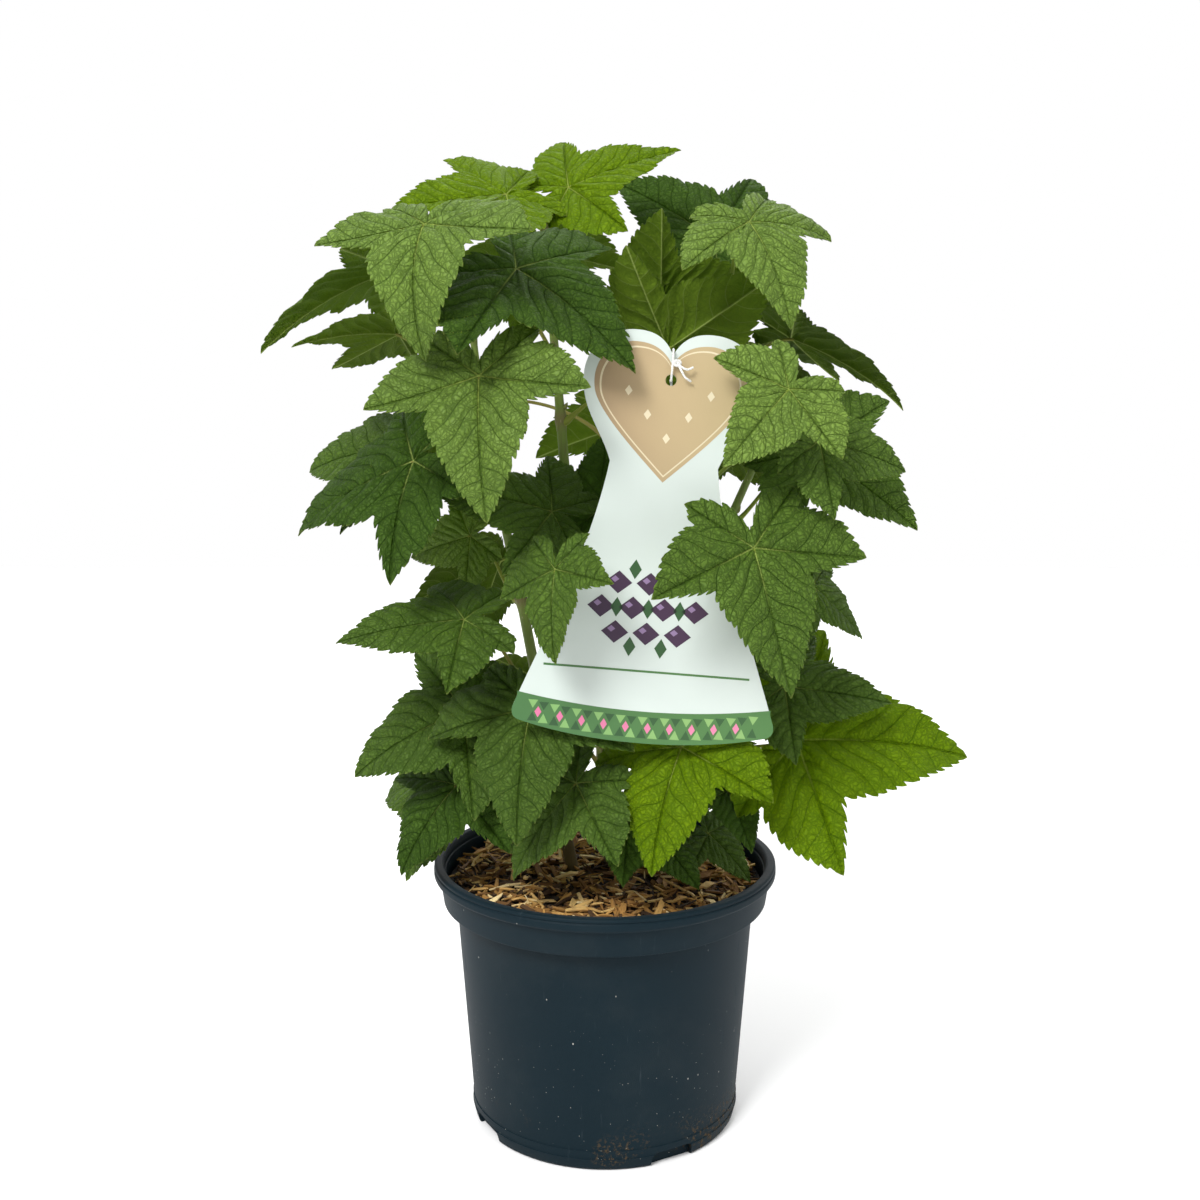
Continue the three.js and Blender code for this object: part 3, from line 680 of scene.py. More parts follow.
def make_pot():
    """The pot's wall as a turned profile with a grooved rim, a collar and two fine steps at the foot,
    with the drain notches cut out of it."""
    slope = (BODY_TOP_RADIUS - BASE_RADIUS) / COLLAR_FOOT
    ledge = BODY_TOP_RADIUS - LEDGE_DROP * slope
    lip = RIM_HEIGHT - LIP_DEPTH
    groove = RIM_HEIGHT - 2.9
    step = 0.5
    wall_at = [BASE_RADIUS + (z - 4) * slope for z in FOOT_STEPS]
    corners = [
        (0, 0, 0), (BASE_RADIUS - 0.6, 0, 2.2),
        (wall_at[0] + 2 * step, FOOT_STEPS[0], 0.1), (wall_at[0] + step, FOOT_STEPS[0] + 0.1, 0.1),
        (wall_at[1] + step, FOOT_STEPS[1], 0.1), (wall_at[1], FOOT_STEPS[1] + 0.1, 0.1),
        (ledge, COLLAR_FOOT - LEDGE_DROP, 1.0), (COLLAR_RADIUS - 1.5, COLLAR_FOOT, 0.6),
        (COLLAR_RADIUS + 0.8, lip - 1, 0.8), (RIM_RADIUS - 0.6, lip, 0.8), (RIM_RADIUS, lip + 1.2, 0.5),
        (RIM_RADIUS, groove - 0.8, 0.3), (RIM_RADIUS - 0.9, groove, 0.3),
        (RIM_RADIUS - 0.2, groove + 0.8, 0.3), (RIM_RADIUS - 0.3, RIM_HEIGHT - 0.9, 0.5),
        (RIM_RADIUS - 1.4, RIM_HEIGHT, 0.8),
        (COLLAR_RADIUS - WALL + 1.2, RIM_HEIGHT, 1.2), (COLLAR_RADIUS - WALL, RIM_HEIGHT - 3, 0.8),
        (COLLAR_RADIUS - WALL, RIM_HEIGHT - 5, 0.2), (COLLAR_RADIUS - WALL - 0.8, RIM_HEIGHT - 5.6, 0.2),
        (COLLAR_RADIUS - 1.5 - WALL, COLLAR_FOOT + WALL, 2.0),
        (ledge - WALL, COLLAR_FOOT - LEDGE_DROP + WALL, 2.5), (BASE_RADIUS - WALL, 12, 3.0),
        (BASE_RADIUS - WALL - 4, FLOOR, 2.0), (0, FLOOR, 0),
    ]
    pot = make_piece("nursery_pot", *turned(rounded_profile(corners), POT_SIDES), [pot_finish()],
                     "pot_plastic", ("pot",))
    points, faces = notch_cutters()
    mesh = bpy.data.meshes.new("notches")
    mesh.from_pydata((points * MM).tolist(), [], [face for f in faces for face in f.tolist()])
    cutter = bpy.data.objects.new("notches", mesh)
    bpy.context.scene.collection.objects.link(cutter)
    cut = pot.modifiers.new("notches", "BOOLEAN")
    cut.operation, cut.solver, cut.object = "DIFFERENCE", "EXACT", cutter
    cut_mesh = bpy.data.meshes.new_from_object(pot.evaluated_get(bpy.context.evaluated_depsgraph_get()))
    pot.modifiers.clear()
    pot.data = cut_mesh
    bpy.data.objects.remove(cutter)
    pot.data.set_sharp_from_angle(angle=np.radians(40))


# Mulch

def mound(radius):
    """Height of the mulch at a distance from the axis: it falls from the middle to the wall."""
    share = np.clip(radius / MULCH_RADIUS, 0, 1)
    return MULCH_TOP + MULCH_MOUND * (1 - 0.5 * share) - 2.5 * share**4


def make_mulch():
    """A dark bed, turned from the mound's profile and roughened, its near-black colours painted shade in the
    gaps between chips, and wood splinters over it: each a bar of three four-cornered rings whose ends are
    thinner than its middle, bowed, turned at random and laid on the mound, the deeper ones darker as painted
    shade."""
    draw = np.random.default_rng(11)
    share = np.linspace(0, 1, 26)[1:]
    top = np.stack((share * MULCH_RADIUS, mound(share * MULCH_RADIUS) - BED_DROP), -1)
    foot = [(0, SOIL_TOP + 0.5), (MULCH_RADIUS, SOIL_TOP + 0.5)]
    profile = np.concatenate((foot, top[::-1], [(0, MULCH_TOP + MULCH_MOUND - BED_DROP)]))
    points, faces = turned(profile, BED_SIDES)
    points[:, 2] += np.where(points[:, 2] > SOIL_TOP + 1, draw.normal(0, 0.5, len(points)), 0)
    # Near-black bed colours: painted shade in the gaps between the chips.
    bed = soil_finish("mulch_bed_shade", srgb(16, 11, 7), srgb(38, 26, 15))
    make_piece("mulch_bed_shade", points, faces, [bed], "wood_chip")

    count = CHIPS
    large = draw.permutation(count) < LARGE_CHIPS

    def sizes(least, spread, power):
        return least + spread * draw.random(count) ** power

    length = np.where(large, sizes(*LARGE_LENGTH), sizes(*SMALL_LENGTH))
    width = np.where(large, sizes(*LARGE_WIDTH), sizes(*SMALL_WIDTH))
    thick = np.where(large, LARGE_THICKNESS, SMALL_THICKNESS) + THICKNESS_SPREAD * draw.random(count)
    ends = 0.25 + 0.7 * draw.random((count, 2))
    station = np.array((-0.5, 0.0, 0.5))
    scale = np.stack((ends[:, 0], np.ones(count), ends[:, 1]), -1)
    corner = np.array(((-0.5, -0.5), (0.5, -0.5), (0.5, 0.5), (-0.5, 0.5)))
    bar = np.empty((count, 3, 4, 3))
    bar[..., 0] = station[None, :, None] * length[:, None, None]
    bar[..., 0] += 0.35 * width[:, None, None] * corner[:, 0] * draw.normal(0, 1, (count, 3, 1))
    bar[..., 1] = corner[:, 0] * (width[:, None] * scale)[..., None]
    bar[..., 2] = corner[:, 1] * (thick[:, None] * (0.4 + 0.6 * scale))[..., None]
    bow = length * draw.normal(0, 0.05, count)
    bar[..., 2] += (bow[:, None] * (1 - 4 * station**2))[..., None]
    roll, tilt = draw.normal(0, 0.6, count), draw.normal(0, 0.24, count)
    turn = draw.random(count) * 2 * np.pi
    for first, second, angle in ((1, 2, roll), (2, 0, tilt), (0, 1, turn)):
        cos, sin = np.cos(angle)[:, None, None], np.sin(angle)[:, None, None]
        one, two = bar[..., first].copy(), bar[..., second].copy()
        bar[..., first] = one * cos - two * sin
        bar[..., second] = one * sin + two * cos
    reach = (MULCH_RADIUS + 0.8 - 0.42 * length) * draw.random(count) ** 0.45
    where = draw.random(count) * 2 * np.pi
    level = np.sort(draw.random(count))
    centre = np.stack((reach * np.cos(where), reach * np.sin(where), mound(reach) - 3.2 + 3.4 * level), -1)
    bar += centre[:, None, None]
    cage = np.concatenate((grid_faces(3, 4, True), np.array(((3, 2, 1, 0), (8, 9, 10, 11)))))
    faces = (np.arange(count)[:, None, None] * 12 + cage).reshape(-1, 4)
    # Chips lower in the pile darker: painted shade; the random part is each chip's own tone.
    hue = np.clip(0.85 * level + 0.65 * draw.random(count) - 0.37, 0, 1)
    along = np.repeat(station, 4)[None] * length[:, None] + 50 * draw.random(count)[:, None]
    around = np.tile((0.0, 1.0, 2.0, 3.0), 3)[None] * (width[:, None] * 0.3)
    grain = np.stack((along, around + 0 * along), -1).reshape(-1, 2) / 10
    make_piece("wood_chips", bar.reshape(-1, 3), [faces], [chip_finish()], "wood_chip", ("wood_chip_mulch",),
               smooth=False, shades={"hue": np.repeat(hue, 12)}, maps={"grain": grain[faces.ravel()]})


# Canes

def cane_path(route):
    """Cane's middle line from its foot in the compost, straight up to the route and then along it."""
    above = smooth_route(route, 28, 0)
    foot = np.linspace((route[0][0], route[0][1], CANE_FOOT), route[0], 22)[:-1]
    return np.concatenate((foot, above)), np.concatenate((np.zeros(len(foot)), np.linspace(0, 1, len(above))))


def cane_at(cane, height):
    """Place and radius of a cane at a height."""
    thick, thin, route = CANES[cane]
    path, share = cane_path(route)
    place = np.array([np.interp(height, path[:, 2], path[:, axis]) for axis in range(3)])
    return place, thick + (thin - thick) * np.interp(height, path[:, 2], share)


def bud(place, heading, size):
    """Pointed bud: rings whose radius swells quickly and closes to a point along a heading."""
    t = np.linspace(0, 1, 9)
    path = place + heading * size * t[:, None]
    return tube(path, size * 0.26 * np.sin(np.pi * t**0.7) ** 0.8 + 0.02, BUD_SIDES)


def make_cane(name):
    """A cane: a tube that thins towards its tip, swollen at each joint where a stalk leaves it, with
    a bud above each stalk and one at the tip."""
    thick, thin, route = CANES[name]
    path, share = cane_path(route)
    joints = np.array([row[1] for row in LEAVES if row[0] == name], float)
    draw = np.random.default_rng(len(name) + int(route[0][0]) % 7)
    swell = np.exp(-(((path[:, 2, None] - joints - 1) / 5) ** 2)).sum(1).clip(0, 1)
    radius = thick + (thin - thick) * share + 0.9 * swell
    radius[-3:] *= (0.95, 0.8, 0.45)
    parts = [tube(path, radius, CANE_SIDES)]
    for row in LEAVES:
        if row[0] == name:
            place, width = cane_at(name, row[1] + 6)
            outward = unit(np.array((row[2], row[3], 0.0)) - place * (1, 1, 0))
            heading = unit(outward * 0.55 + np.array((0, 0, 1.0)))
            parts.append(bud(place + outward * (width - 0.6), heading, 5 + 3 * draw.random()))
    parts.append(bud(path[-1] - (0, 0, 2), unit(path[-1] - path[-4]), 11))
    points, faces = joined(parts)
    body = len(parts[0][0])
    rings = np.repeat(np.stack((share, swell), -1), CANE_SIDES, axis=0)
    rise = np.concatenate((rings[:, 0], (0.0, 1.0), np.full(len(points) - body, 0.75)))
    joint = np.concatenate((rings[:, 1], (0.0, 0.0), np.full(len(points) - body, 0.55)))
    make_piece(f"cane_bark_{name}", points, faces, [FINISHES["cane"]], "cane_bark", (f"cane_{name}",),
               shades={"rise": rise, "joint": joint})


# Leaves

def chance(leaf, trait):
    """The part's own repeatable number from 0 to 1 for a leaf and a trait."""
    return (np.sin(leaf * 127.1 + trait * 311.7) * 43758.5453) % 1


def half_margin(draw):
    """One half of the margin, from the midrib to the base. Along each side of a lobe, teeth of uneven
    width share out the margin's arc; a tooth rises steeply to its blunt point and curves slowly down
    to a notch, away from the lobe's tip; the tip's own tooth is shallower. A notch's depth along the
    reach is its depth square to the margin over the sine of the angle between them. Returns angle,
    reach and depth of notch."""
    angles, notches = [np.array((175.0, 178.0))], [np.zeros(2)]
    for tip, end, teeth in TOOTHED:
        fine = np.linspace(tip, end, 240)
        reach, turn = np.interp(fine, *MARGIN), np.radians(fine)
        spots = reach[:, None] * np.stack((np.sin(turn), np.cos(turn)), -1)
        pace = np.linalg.norm(np.gradient(spots, axis=0), axis=1)
        arc = np.cumsum(pace) - pace[0]
        slant = reach * np.abs(np.gradient(turn)) / pace
        widths = (0.75 + 0.5 * draw.random(teeth)) * np.where(np.arange(teeth) % 2, 0.7, 1.0)
        shares = widths / widths.sum()
        place = ((np.cumsum(shares) - shares)[:, None] + TOOTH_STEPS * shares[:, None]) * arc[-1]
        angles.append(np.interp(place, arc, fine).ravel())
        depth = TOOTH_DEPTH * widths[:, None] * TOOTH_NOTCH
        depth[0] *= (0.0, 1.0, 0.5, 0.5)
        notches.append((depth / np.maximum(np.interp(place, arc, slant), 0.42)).ravel())
    angle, first = np.unique(np.round(np.concatenate(angles), 4), return_index=True)
    return angle, np.interp(angle, *MARGIN), np.concatenate(notches)[first]


def leaf_axes(azimuth, elevation, turn):
    """Unit vectors of a blade: across it, along its midrib, and out of its upper face."""
    a, e, t = np.radians((azimuth, elevation, turn))
    normal = np.array((np.sin(a) * np.cos(e), -np.cos(a) * np.cos(e), np.sin(e)))
    down = np.array((np.sin(a) * np.sin(e), -np.cos(a) * np.sin(e), -np.cos(e)))
    along = np.cos(t) * down + np.sin(t) * np.cross(down, normal)
    return np.cross(along, normal), along, normal


def blade_sheet(leaf, share, angle):
    """Middle of a blade: the reach share * length runs out from the foot along an arc, whose bend goes
    from the midrib's to the sides' as the squares of the angle's cosine and sine, with a threefold
    wave that grows as share squared."""
    length = leaf["length"]
    reach = share * length
    bend = (leaf["arch"] * np.cos(angle) ** 2 + leaf["sides"] * np.sin(angle) ** 2) / length
    bend = np.where(np.abs(bend) < 1e-6, 1e-6, bend)
    out, drop = np.sin(bend * reach) / bend, (1 - np.cos(bend * reach)) / bend
    wave = BLADE_WAVE * length * share**2 * np.sin(3 * angle + leaf["phase"])
    across, along, normal = leaf["axes"]
    spots = ((across, out * np.sin(angle)), (along, out * np.cos(angle)), (normal, wave - drop))
    return leaf["foot"] + sum(axis * size[..., None] for axis, size in spots)


def rib_place(leaf, angle, share, middle):
    """Place against the veins, for points seen from a stretch of blade whose middle angle is given:
    the main vein of its lobe is the nearest within the lobe's borders; phase counts the side veins,
    which leave the main vein forward, curve and waver; off is the distance from the main vein."""
    lobe = np.searchsorted(VEIN_BORDERS, np.abs(np.degrees(middle)))
    vein = np.sign(middle) * np.radians(VEIN_ANGLES[lobe])
    along, off = share * np.cos(angle - vein), share * np.abs(np.sin(angle - vein))
    waver = (0.16 * np.sin(9 * along + 13 * off + leaf["phase"])
             + 0.1 * np.sin(23 * off - 7 * along + 2 * leaf["phase"]))
    phase = (along - 0.8 * off - 0.8 * off**2) / VEIN_PITCH[lobe] + waver + 0.4 * (middle > vein)
    return phase, off


def blade_relief(leaf, angle, share, ring):
    """Height of a blade over its sheet, in millimetres: up from a fold along each of the five main
    veins, as one less the exponential fall of the distance to the nearest, quilted between the side
    veins as a row of parabolas, and rippled towards the margin. Returns it with that distance."""
    phase, off = rib_place(leaf, angle, share, angle + 1e-9)
    crest = 1 - (1 - 2 * np.abs(phase - np.round(phase))) ** 2
    border = np.min([np.abs(np.abs(np.degrees(angle)) - b) for b in VEIN_BORDERS], axis=0)
    calm = np.clip(border / 7, 0, 1) * np.clip(off / 0.03, 0, 1) * (1 - 0.55 * ring**6)
    veins = np.radians(np.concatenate((-VEIN_ANGLES[:0:-1], VEIN_ANGLES)))
    lean = angle[..., None] - veins
    beside = share * np.where(np.cos(lean) > 0, np.abs(np.sin(lean)), 1.0).min(-1)
    fold = 1 - np.exp(-beside / FOLD_WIDTH)
    ripple = sum(size * np.sin(waves * angle + offset * leaf["phase"]) for size, waves, offset in RIPPLES)
    relief = QUILT * crest * calm + FOLD * fold + ripple * ring**5 - BLADE_SINK
    return leaf["length"] * relief, beside


def blade(leaf, draw):
    """A blade as a grid of margin angle by reach: the sheet with its relief, a little thickness, a
    toothed rim, and raised veins below. Returns points, faces, attributes and UV maps."""
    right, left = half_margin(draw), half_margin(draw)
    angle = np.radians(np.concatenate((-left[0][:0:-1], right[0], (180.0,))))
    reach = np.concatenate((left[1][:0:-1], right[1], (MARGIN[1, -1],)))
    notch = np.concatenate((left[2][:0:-1], right[2], (0.0,)))
    reach = reach * (1 + leaf["side"] * np.sin(angle) + 0.025 * np.sin(2 * angle + 3 * leaf["phase"]))
    columns, rings = len(angle), BLADE_RINGS
    ring = (np.arange(1, rings + 1) / rings)[:, None]
    share = ring * (reach - notch * ring**9)
    spread = np.broadcast_to(angle, share.shape)

    sheet = blade_sheet(leaf, share, spread)
    nudge = 1e-3
    outward = blade_sheet(leaf, share + nudge, spread) - sheet
    sideways = blade_sheet(leaf, share, spread + nudge) - sheet
    normal = unit(np.cross(sideways, outward))
    relief, beside = blade_relief(leaf, spread, share, ring)
    rib = 0.55 * np.exp(-((beside / (0.02 * (1.15 - share))) ** 2)) * (1.1 - share)
    upper = sheet + normal * (relief + BLADE / 2)[..., None]
    lower = sheet + normal * (relief - BLADE / 2 - rib)[..., None]

    count = columns * rings
    lift = np.array((BLADE / 2, -BLADE / 2)) - BLADE_SINK * leaf["length"]
    foot = leaf["foot"] + leaf["axes"][2] * lift[:, None]
    points = np.concatenate((upper.reshape(-1, 3), lower.reshape(-1, 3), foot))
    top = grid_faces(rings, columns, True)
    inner, outer = np.arange(columns), count - columns + np.arange(columns)
    beyond = np.roll(outer, -1)
    rim = np.stack((outer, beyond, beyond + count, outer + count), -1)
    faces = [top, (top + count)[:, ::-1], rim,
             fan_faces(inner, 2 * count)[:, ::-1], fan_faces(inner + count, 2 * count + 1)]

    corner = np.concatenate([f.ravel() for f in faces])
    order = np.arange(columns)
    across = np.tile(order, rings - 1).repeat(4)
    column = np.concatenate((across, across, order.repeat(4), order.repeat(3), order.repeat(3)))
    middle = angle + np.diff(np.append(angle, angle[0] + 2 * np.pi)) / 2
    full_angle = np.concatenate((spread.ravel(), spread.ravel(), (0, 0)))
    full_share = np.concatenate((share.ravel(), share.ravel(), (0, 0)))
    seen = full_angle[corner]
    seen = np.where((column == columns - 1) & (seen < 0), seen + 2 * np.pi, seen)
    seen = np.where(full_share[corner] == 0, middle[column], seen)
    rib_map = np.stack(rib_place(leaf, seen, full_share[corner], middle[column]), -1)
    flat = np.stack((full_share * np.sin(full_angle), full_share * np.cos(full_angle)), -1)
    flat_map = (flat * leaf["length"] / 100 + leaf["phase"])[corner]
    edge = (ring - 1.5 * notch * ring**9).ravel()
    shades = {"under": np.concatenate((np.zeros(count), np.ones(count), (0, 1))),
              "reach": np.concatenate((edge, edge, (0, 0)))}
    return points, faces, shades, rib_map, flat_map


def stalk(leaf):
    """Leaf stalk: a cubic curve that leaves the cane outward and upward and comes in under the blade's
    foot along its midrib, thicker where it clasps the cane."""
    place, radius = cane_at(leaf["cane"], leaf["height"])
    _, along, normal = leaf["axes"]
    sunk = normal * BLADE_SINK * leaf["length"]
    end = leaf["foot"] + along * 2 - sunk
    out = unit((end - place) * (1, 1, 0))
    start = place + out * (radius + STALK_OFFSET)
    span = np.linalg.norm(end - start)
    rise = unit(out + np.array((0, 0, STALK_RISE)))
    second = start + rise * span * 0.4
    third = leaf["foot"] - along * span * 0.25 - normal * span * 0.12
    t = np.linspace(0, 1, 26)[:, None]
    path = (1 - t) ** 3 * start + 3 * t * (1 - t) ** 2 * second + 3 * t**2 * (1 - t) * third + t**3 * end
    root = place + out * radius * 0.5 - np.array((0, 0, 1.5))
    path = np.concatenate((root[None], path))
    t = np.concatenate(((0.0,), t[:, 0]))
    return tube(path, STALK_RADIUS * (1 - 0.12 * t) + 1.3 * np.exp(-t * 16), STALK_SIDES)


def make_leaf(number, row):
    """A leaf: blade and stalk in one mesh."""
    cane, height, x, y, z, azimuth, elevation, turn, length, arch, sides, tone = row
    leaf = {
        "cane": cane, "height": height, "length": length, "foot": np.array((x, y, z), float),
        "arch": np.radians(arch), "sides": np.radians(sides), "axes": leaf_axes(azimuth, elevation, turn),
        "phase": 2 * np.pi * chance(number, 1), "side": BLADE_UNEVEN * (2 * chance(number, 2) - 1),
    }
    draw = np.random.default_rng(100 + number)
    blade_points, blade_faces, shades, rib_map, flat_map = blade(leaf, draw)
    stalk_points, stalk_faces = stalk(leaf)
    points, faces = joined(((blade_points, blade_faces), (stalk_points, stalk_faces)))
    extra = len(stalk_points)
    stalk_corners = sum(f.size for f in stalk_faces)
    shades = {key: np.concatenate((values, np.full(extra, 0.3))) for key, values in shades.items()}
    shades["under"][-extra:] = 0
    shades["stalk"] = np.concatenate((np.zeros(len(blade_points)), np.ones(extra)))
    shades["tint"] = np.full(len(points), LEAF_TINTS.get(number + 1, draw.random()))
    maps = {"rib": np.concatenate((rib_map, np.full((stalk_corners, 2), 0.5))),
            "flat": np.concatenate((flat_map, np.zeros((stalk_corners, 2))))}
    made = make_piece(f"blackcurrant_leaf_{number + 1:02d}", points, faces, [FINISHES[tone]], f"leaf_{tone}",
                      (f"leaf_{number + 1:02d}",), shades=shades, maps=maps)
    made.data.set_sharp_from_angle(angle=np.radians(60))


# Label and tie

def bezier(points, steps=20):
    """Points of one cubic curve from its four control points, without the last."""
    p = np.array(points, float)[:, None]
    t = (np.arange(steps) / steps)[:, None]
    return (1 - t) ** 3 * p[0] + 3 * t * (1 - t) ** 2 * p[1] + 3 * t**2 * (1 - t) * p[2] + t**3 * p[3]


def on_label(points):
    """Points on the card, x across, y up from its foot and z out of its face, in the part's frame."""
    lean, tilt = np.radians(-LABEL_LEAN), np.radians(90 - LABEL_TILT)
    x, y, z = np.moveaxis(np.asarray(points, float), -1, 0)
    across, upward = x * np.cos(lean) - y * np.sin(lean), x * np.sin(lean) + y * np.cos(lean)
    back, rise = upward * np.cos(tilt) - z * np.sin(tilt), upward * np.sin(tilt) + z * np.cos(tilt)
    return np.stack((across, back, rise), -1) + LABEL_FOOT


def card_half():
    """Right half of the card's outline from the notch of the heart down to the middle of the foot."""
    h = LABEL_HEIGHT
    curves = (
        ((0, h - 12), (5, h - 1), (14, h + 1), (24, h)),
        ((24, h), (40, h - 2), (49, h - 16), (46, h - 32)),
        ((46, h - 32), (44, h - 46), (34, h - 56), (29, h - 70)),
        ((29, h - 70), (36, h - 120), (58, h - 170), (71, 16)),
        ((71, 16), (72, 12), (71, 9), (66, 8)),
        ((66, 8), (44, 2.5), (22, 0.5), (0, 0.5)),
    )
    return np.concatenate([bezier(c) for c in curves] + [np.array(((0, 0.5),))])


def heart_half(scale):
    """Right half of a heart about the middle of the panel, from its notch to its point."""
    h = LABEL_HEIGHT
    half = np.concatenate((
        bezier(((0, h - 17), (5, h - 8), (13, h - 5.5), (22, h - 6))),
        bezier(((22, h - 6), (36, h - 8), (43, h - 20), (40, h - 33))),
        bezier(((40, h - 33), (37, h - 45), (14, h - 66), (0, h - 79.5))),
        ((0, h - 79.5),),
    ))
    centre = np.array((0, h - 40))
    return centre + (half - centre) * scale


def plate(outline, low, high):
    """Flat plate: an outline, going clockwise seen from the front, between two levels."""
    count = len(outline)
    rings = [np.concatenate((outline, np.full((count, 1), level)), 1) for level in (low, high)]
    ring = np.arange(count)
    faces = [grid_faces(2, count, True)[:, ::-1], ring[None], (count + ring)[None, ::-1]]
    return np.concatenate(rings), faces


def make_label():
    """The card and what is printed on it as thin layers: a heart panel with a pale line, a lattice of
    lozenges, a rule, and a foot band with triangles and diamonds. The outlines of card and heart are
    two halves each, so that the eyelet goes through them."""
    turn = np.linspace(0, np.pi, 17)
    eyelet = np.array((0, LABEL_HEIGHT - LABEL_HOLE_DROP))
    eyelet = eyelet + LABEL_HOLE_RADIUS * np.stack((np.sin(turn), -np.cos(turn)), -1)
    half = card_half()
    t, ink = LABEL_THICKNESS / 2, INK_THICKNESS
    layers = []

    def lay(outline, level, finish, mirrored=False):
        """Puts a layer of ink on the card, or the card itself at level 0, with its mirror image or not."""
        low, high = (t + (level - 1) * ink, t + level * ink) if level else (-t, t)
        for shape in (outline, outline[::-1] * (-1, 1)) if mirrored else (outline,):
            layers.append((plate(shape, low, high), list(LABEL_INKS).index(finish)))

    lay(np.concatenate((half, eyelet)), 0, "card", True)
    for level, scale, finish in ((1, 1.0, "tan"), (2, 0.93, "cream"), (3, 0.905, "tan")):
        lay(np.concatenate((heart_half(scale), eyelet)), level, finish, True)
    spread = np.linspace(0, 1, 21)[:, None]
    edge = half[half[:, 1] < LABEL_BAND + 6]
    crest = np.concatenate((spread * edge[0, 0], LABEL_BAND + 6 * spread**2), 1)
    lay(np.concatenate((crest, edge)), 1, "green", True)
    lay(np.array(((-56, 39.4), (-56, 40.6), (56, 40.6), (56, 39.4))), 1, "green")
    lozenge = np.array(((-1, 0), (0, 1), (1, 0), (0, -1)))
    wedge = np.array(((-1, 0), (0, 1), (1, 0)))
    for row, count in enumerate(LATTICE_ROWS):
        for column in np.arange(count) - (count - 1) / 2:
            spot = np.array((column, row - 1)) * LATTICE_PITCH + LATTICE_PLACE
            lay(lozenge * (7.4, 6.2) + spot, 1, "plum")
            lay(lozenge * (2.2, 1.8) + spot + (-2, 1.6), 2, "lilac")
    for beside in LATTICE_LEAVES:
        lay(lozenge * (3.4, 5.4) + LATTICE_PLACE + beside, 1, "leaf")
    for place, x in enumerate(np.arange(-60, 61, 6)):
        foot = 3.4 + 6 * (x / 66) ** 2
        lay(wedge * (2.7, 5.2) + (x, foot), 2, ("leaf", "lime")[place % 2])
        lay(wedge * (2.7, -4.6) + (x, foot + 11.6), 2, ("lime", "leaf")[place % 2])
    for x in np.arange(-57, 58, 12):
        lay(lozenge * (1.9, 3.1) + (x, 9.0 + 6 * (x / 66) ** 2), 3, "pink")
    for mark in PANEL_MARKS:
        lay(lozenge * (2.0, 2.8) + mark, 4, "cream")
    points, faces = joined([(on_label(shape), sides) for (shape, sides), _ in layers])
    marks = np.concatenate([np.full(sum(len(f) for f in sides), mark) for (_, sides), mark in layers])
    make_piece("hang_label", points, faces, [FINISHES[key] for key in LABEL_INKS], "label_card", ("label",),
               smooth=False, marks=marks)


def make_tie():
    """White elastic: a closed loop from behind the eyelet through it, over the notch of the heart and
    round the right-hand cane, with a knot, wound three times round a small ring, and two cut ends in
    front."""
    h = LABEL_HEIGHT
    hook = cane_at("right", TIE_HEIGHT)[0]
    card = on_label(((0, h - LABEL_HOLE_DROP - 0.5, -3), (0, h - LABEL_HOLE_DROP, 1.6), (0, h - 20, 3),
                     (0, h - 10, 2.2), (0, h - 9, -2.8), (2, h - 40, -9)))
    around = hook + np.array(((-6, -8, 2), (-5.5, 1, 2), (0, 5.5, 2), (5.5, 0, 0), (1, -8, -2)))
    route = np.concatenate((card, around, on_label(((6, h - 42, -7),))))
    loop = smooth_route(route, 16, 0.5, closed=True)
    turn = np.linspace(0, 2 * np.pi, 49)[:-1]
    knot = np.stack(((2 + np.cos(2 * turn)) * np.cos(3 * turn), (2 + np.cos(2 * turn)) * np.sin(3 * turn),
                     np.sin(2 * turn)), -1) * 0.6
    knot = on_label(knot + (2.4, h - 16, 3.4))
    ends = [smooth_route(on_label(points), 8, 0.5) for points in (
        ((2.4, h - 16, 3.4), (5, h - 18, 4.4), (8, h - 19, 4.6), (11, h - 17.5, 3.6)),
        ((2.4, h - 16, 3.4), (5, h - 20, 4.2), (7, h - 23, 4.2), (10.5, h - 25, 2.8)))]
    parts, braids = [], []
    for path, closed in ((loop, True), (knot, True), (ends[0], False), (ends[1], False)):
        parts.append(tube(path, TIE_RADIUS, TIE_SIDES, closed))
        arc = np.cumsum(np.linalg.norm(np.diff(path, axis=0, prepend=path[:1]), axis=1))
        braid = np.stack(np.broadcast_arrays(arc[:, None] * 1.6, np.arange(TIE_SIDES) * 0.5), -1)
        braid = braid.reshape(-1, 2)
        braids.append(braid if closed else np.concatenate((braid, np.zeros((2, 2)))))
    points, faces = joined(parts)
    corner = np.concatenate([f.ravel() for f in faces])
    make_piece("elastic_tie", points, faces, [elastic_finish()], "tie_elastic", ("label_tie",),
               maps={"braid": np.concatenate(braids)[corner]})


# Stage

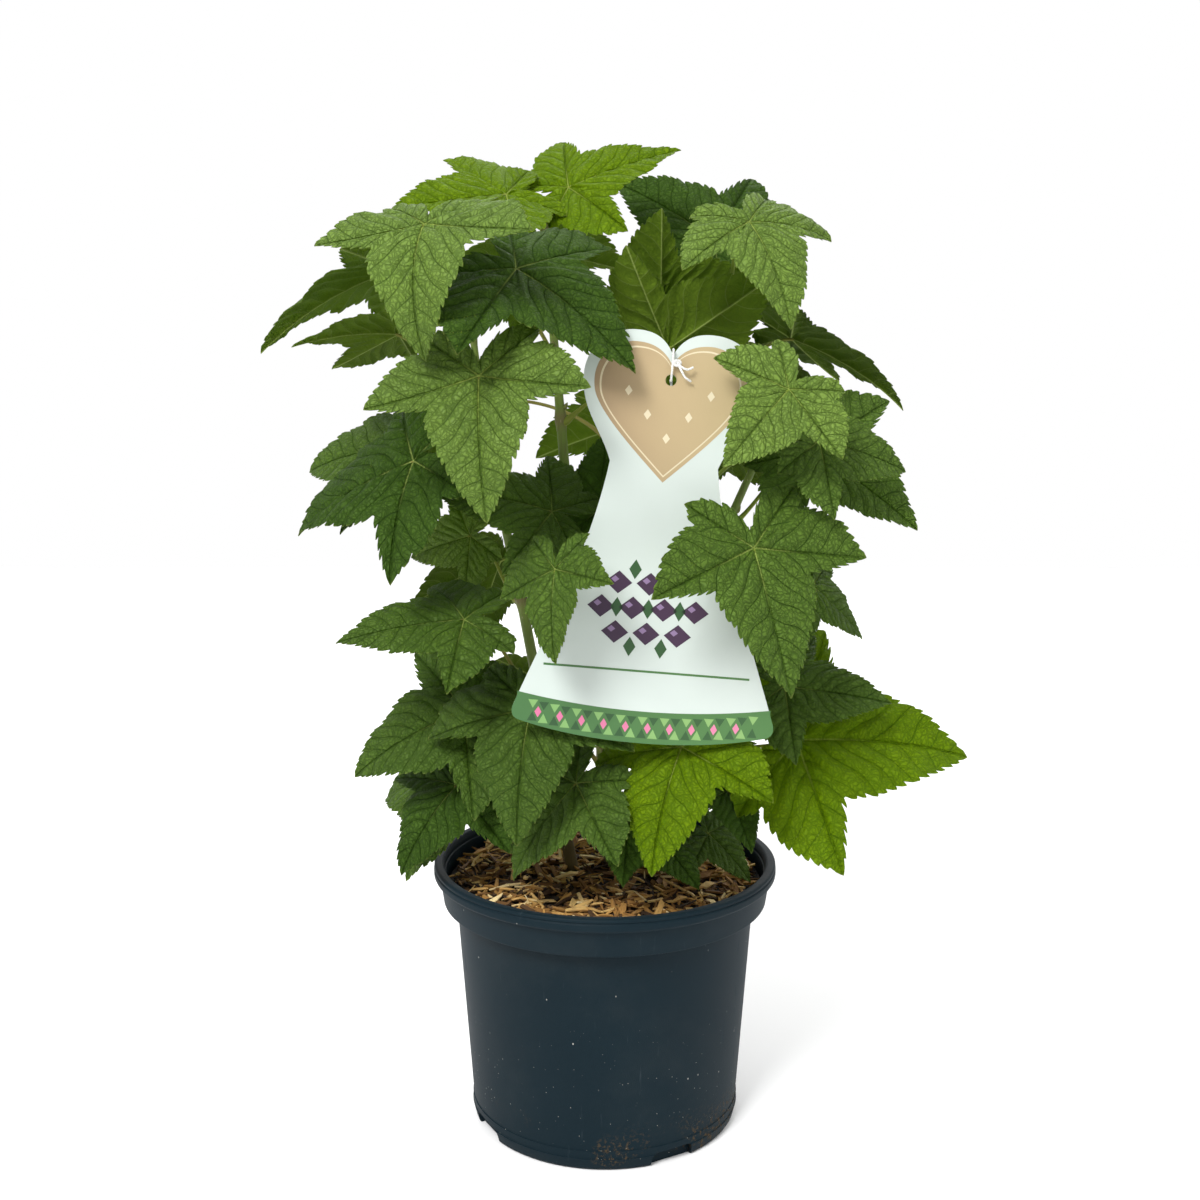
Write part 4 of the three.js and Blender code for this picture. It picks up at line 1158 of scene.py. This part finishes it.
def make_surround():
    """White surround, lighting fully from behind and overhead and less from the front, so that the
    lights model the part, and seen as white from every side."""
    f = Finish(bpy.data.worlds.new("surround"))
    _, back, up = f.split(f.node("ShaderNodeTexCoord", {}, {}, "Generated"))
    level = f.step(back, -0.1, 0.35, FRONT_LEVEL).most(f.step(up, 0.25, 0.8, FRONT_LEVEL))
    seen = f.node("ShaderNodeLightPath", {}, {}, "Is Camera Ray")
    sky = f.node("ShaderNodeBackground", {}, {"Color": (1, 1, 1, 1), "Strength": level.most(seen)})
    return f.done(sky, "ShaderNodeOutputWorld")


def make_stage():
    """White floor, a soft light above the front, weaker ones at the right and behind, the surround, and
    the camera."""
    mesh = bpy.data.meshes.new("floor")
    corners = np.array(((-1, -1, 0), (1, -1, 0), (1, 1, 0), (-1, 1, 0))) * FLOOR_HALF
    mesh.from_pydata(corners.tolist(), [], [(0, 1, 2, 3)])
    mesh.materials.append(floor_finish())
    floor = bpy.data.objects.new("floor", mesh)
    bpy.context.scene.collection.objects.link(floor)
    for name, (place, target, power, width) in LIGHTS.items():
        data = bpy.data.lights.new(name, "AREA")
        data.energy, data.size = power, width
        light = bpy.data.objects.new(name, data)
        light.location = place
        light.rotation_euler = (Vector(target) - Vector(place)).to_track_quat("-Z", "Y").to_euler()
        bpy.context.scene.collection.objects.link(light)
    bpy.context.scene.world = make_surround()
    data = bpy.data.cameras.new("camera")
    data.sensor_width, data.lens = IMAGE_SENSOR, CAMERA_LENS
    camera = bpy.data.objects.new("camera", data)
    camera.location = [x * MM for x in CAMERA_PLACE]
    camera.rotation_euler = (np.radians(90 - CAMERA_PITCH), 0, 0)
    bpy.context.scene.collection.objects.link(camera)
    bpy.context.scene.camera = camera
    bpy.context.scene.view_settings.view_transform = "Standard"


make_stage()

FINISHES = {"cane": cane_finish()}
for tone, (*colours, sheen) in LEAF_TONES.items():
    FINISHES[tone] = leaf_finish(f"leaf_{tone}", *(srgb(*colour) for colour in colours), sheen)
for ink, colours in LABEL_INKS.items():
    FINISHES[ink] = card_finish(f"label_{ink}", *(srgb(*colour) for colour in colours))

make_pot()
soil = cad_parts["soil"].data.materials
soil.clear()
soil.append(soil_finish("soil", srgb(34, 24, 18), srgb(62, 44, 32)))
make_mulch()
for cane_name in CANES:
    make_cane(cane_name)
for leaf_number, leaf_row in enumerate(LEAVES):
    make_leaf(leaf_number, leaf_row)
make_label()
make_tie()
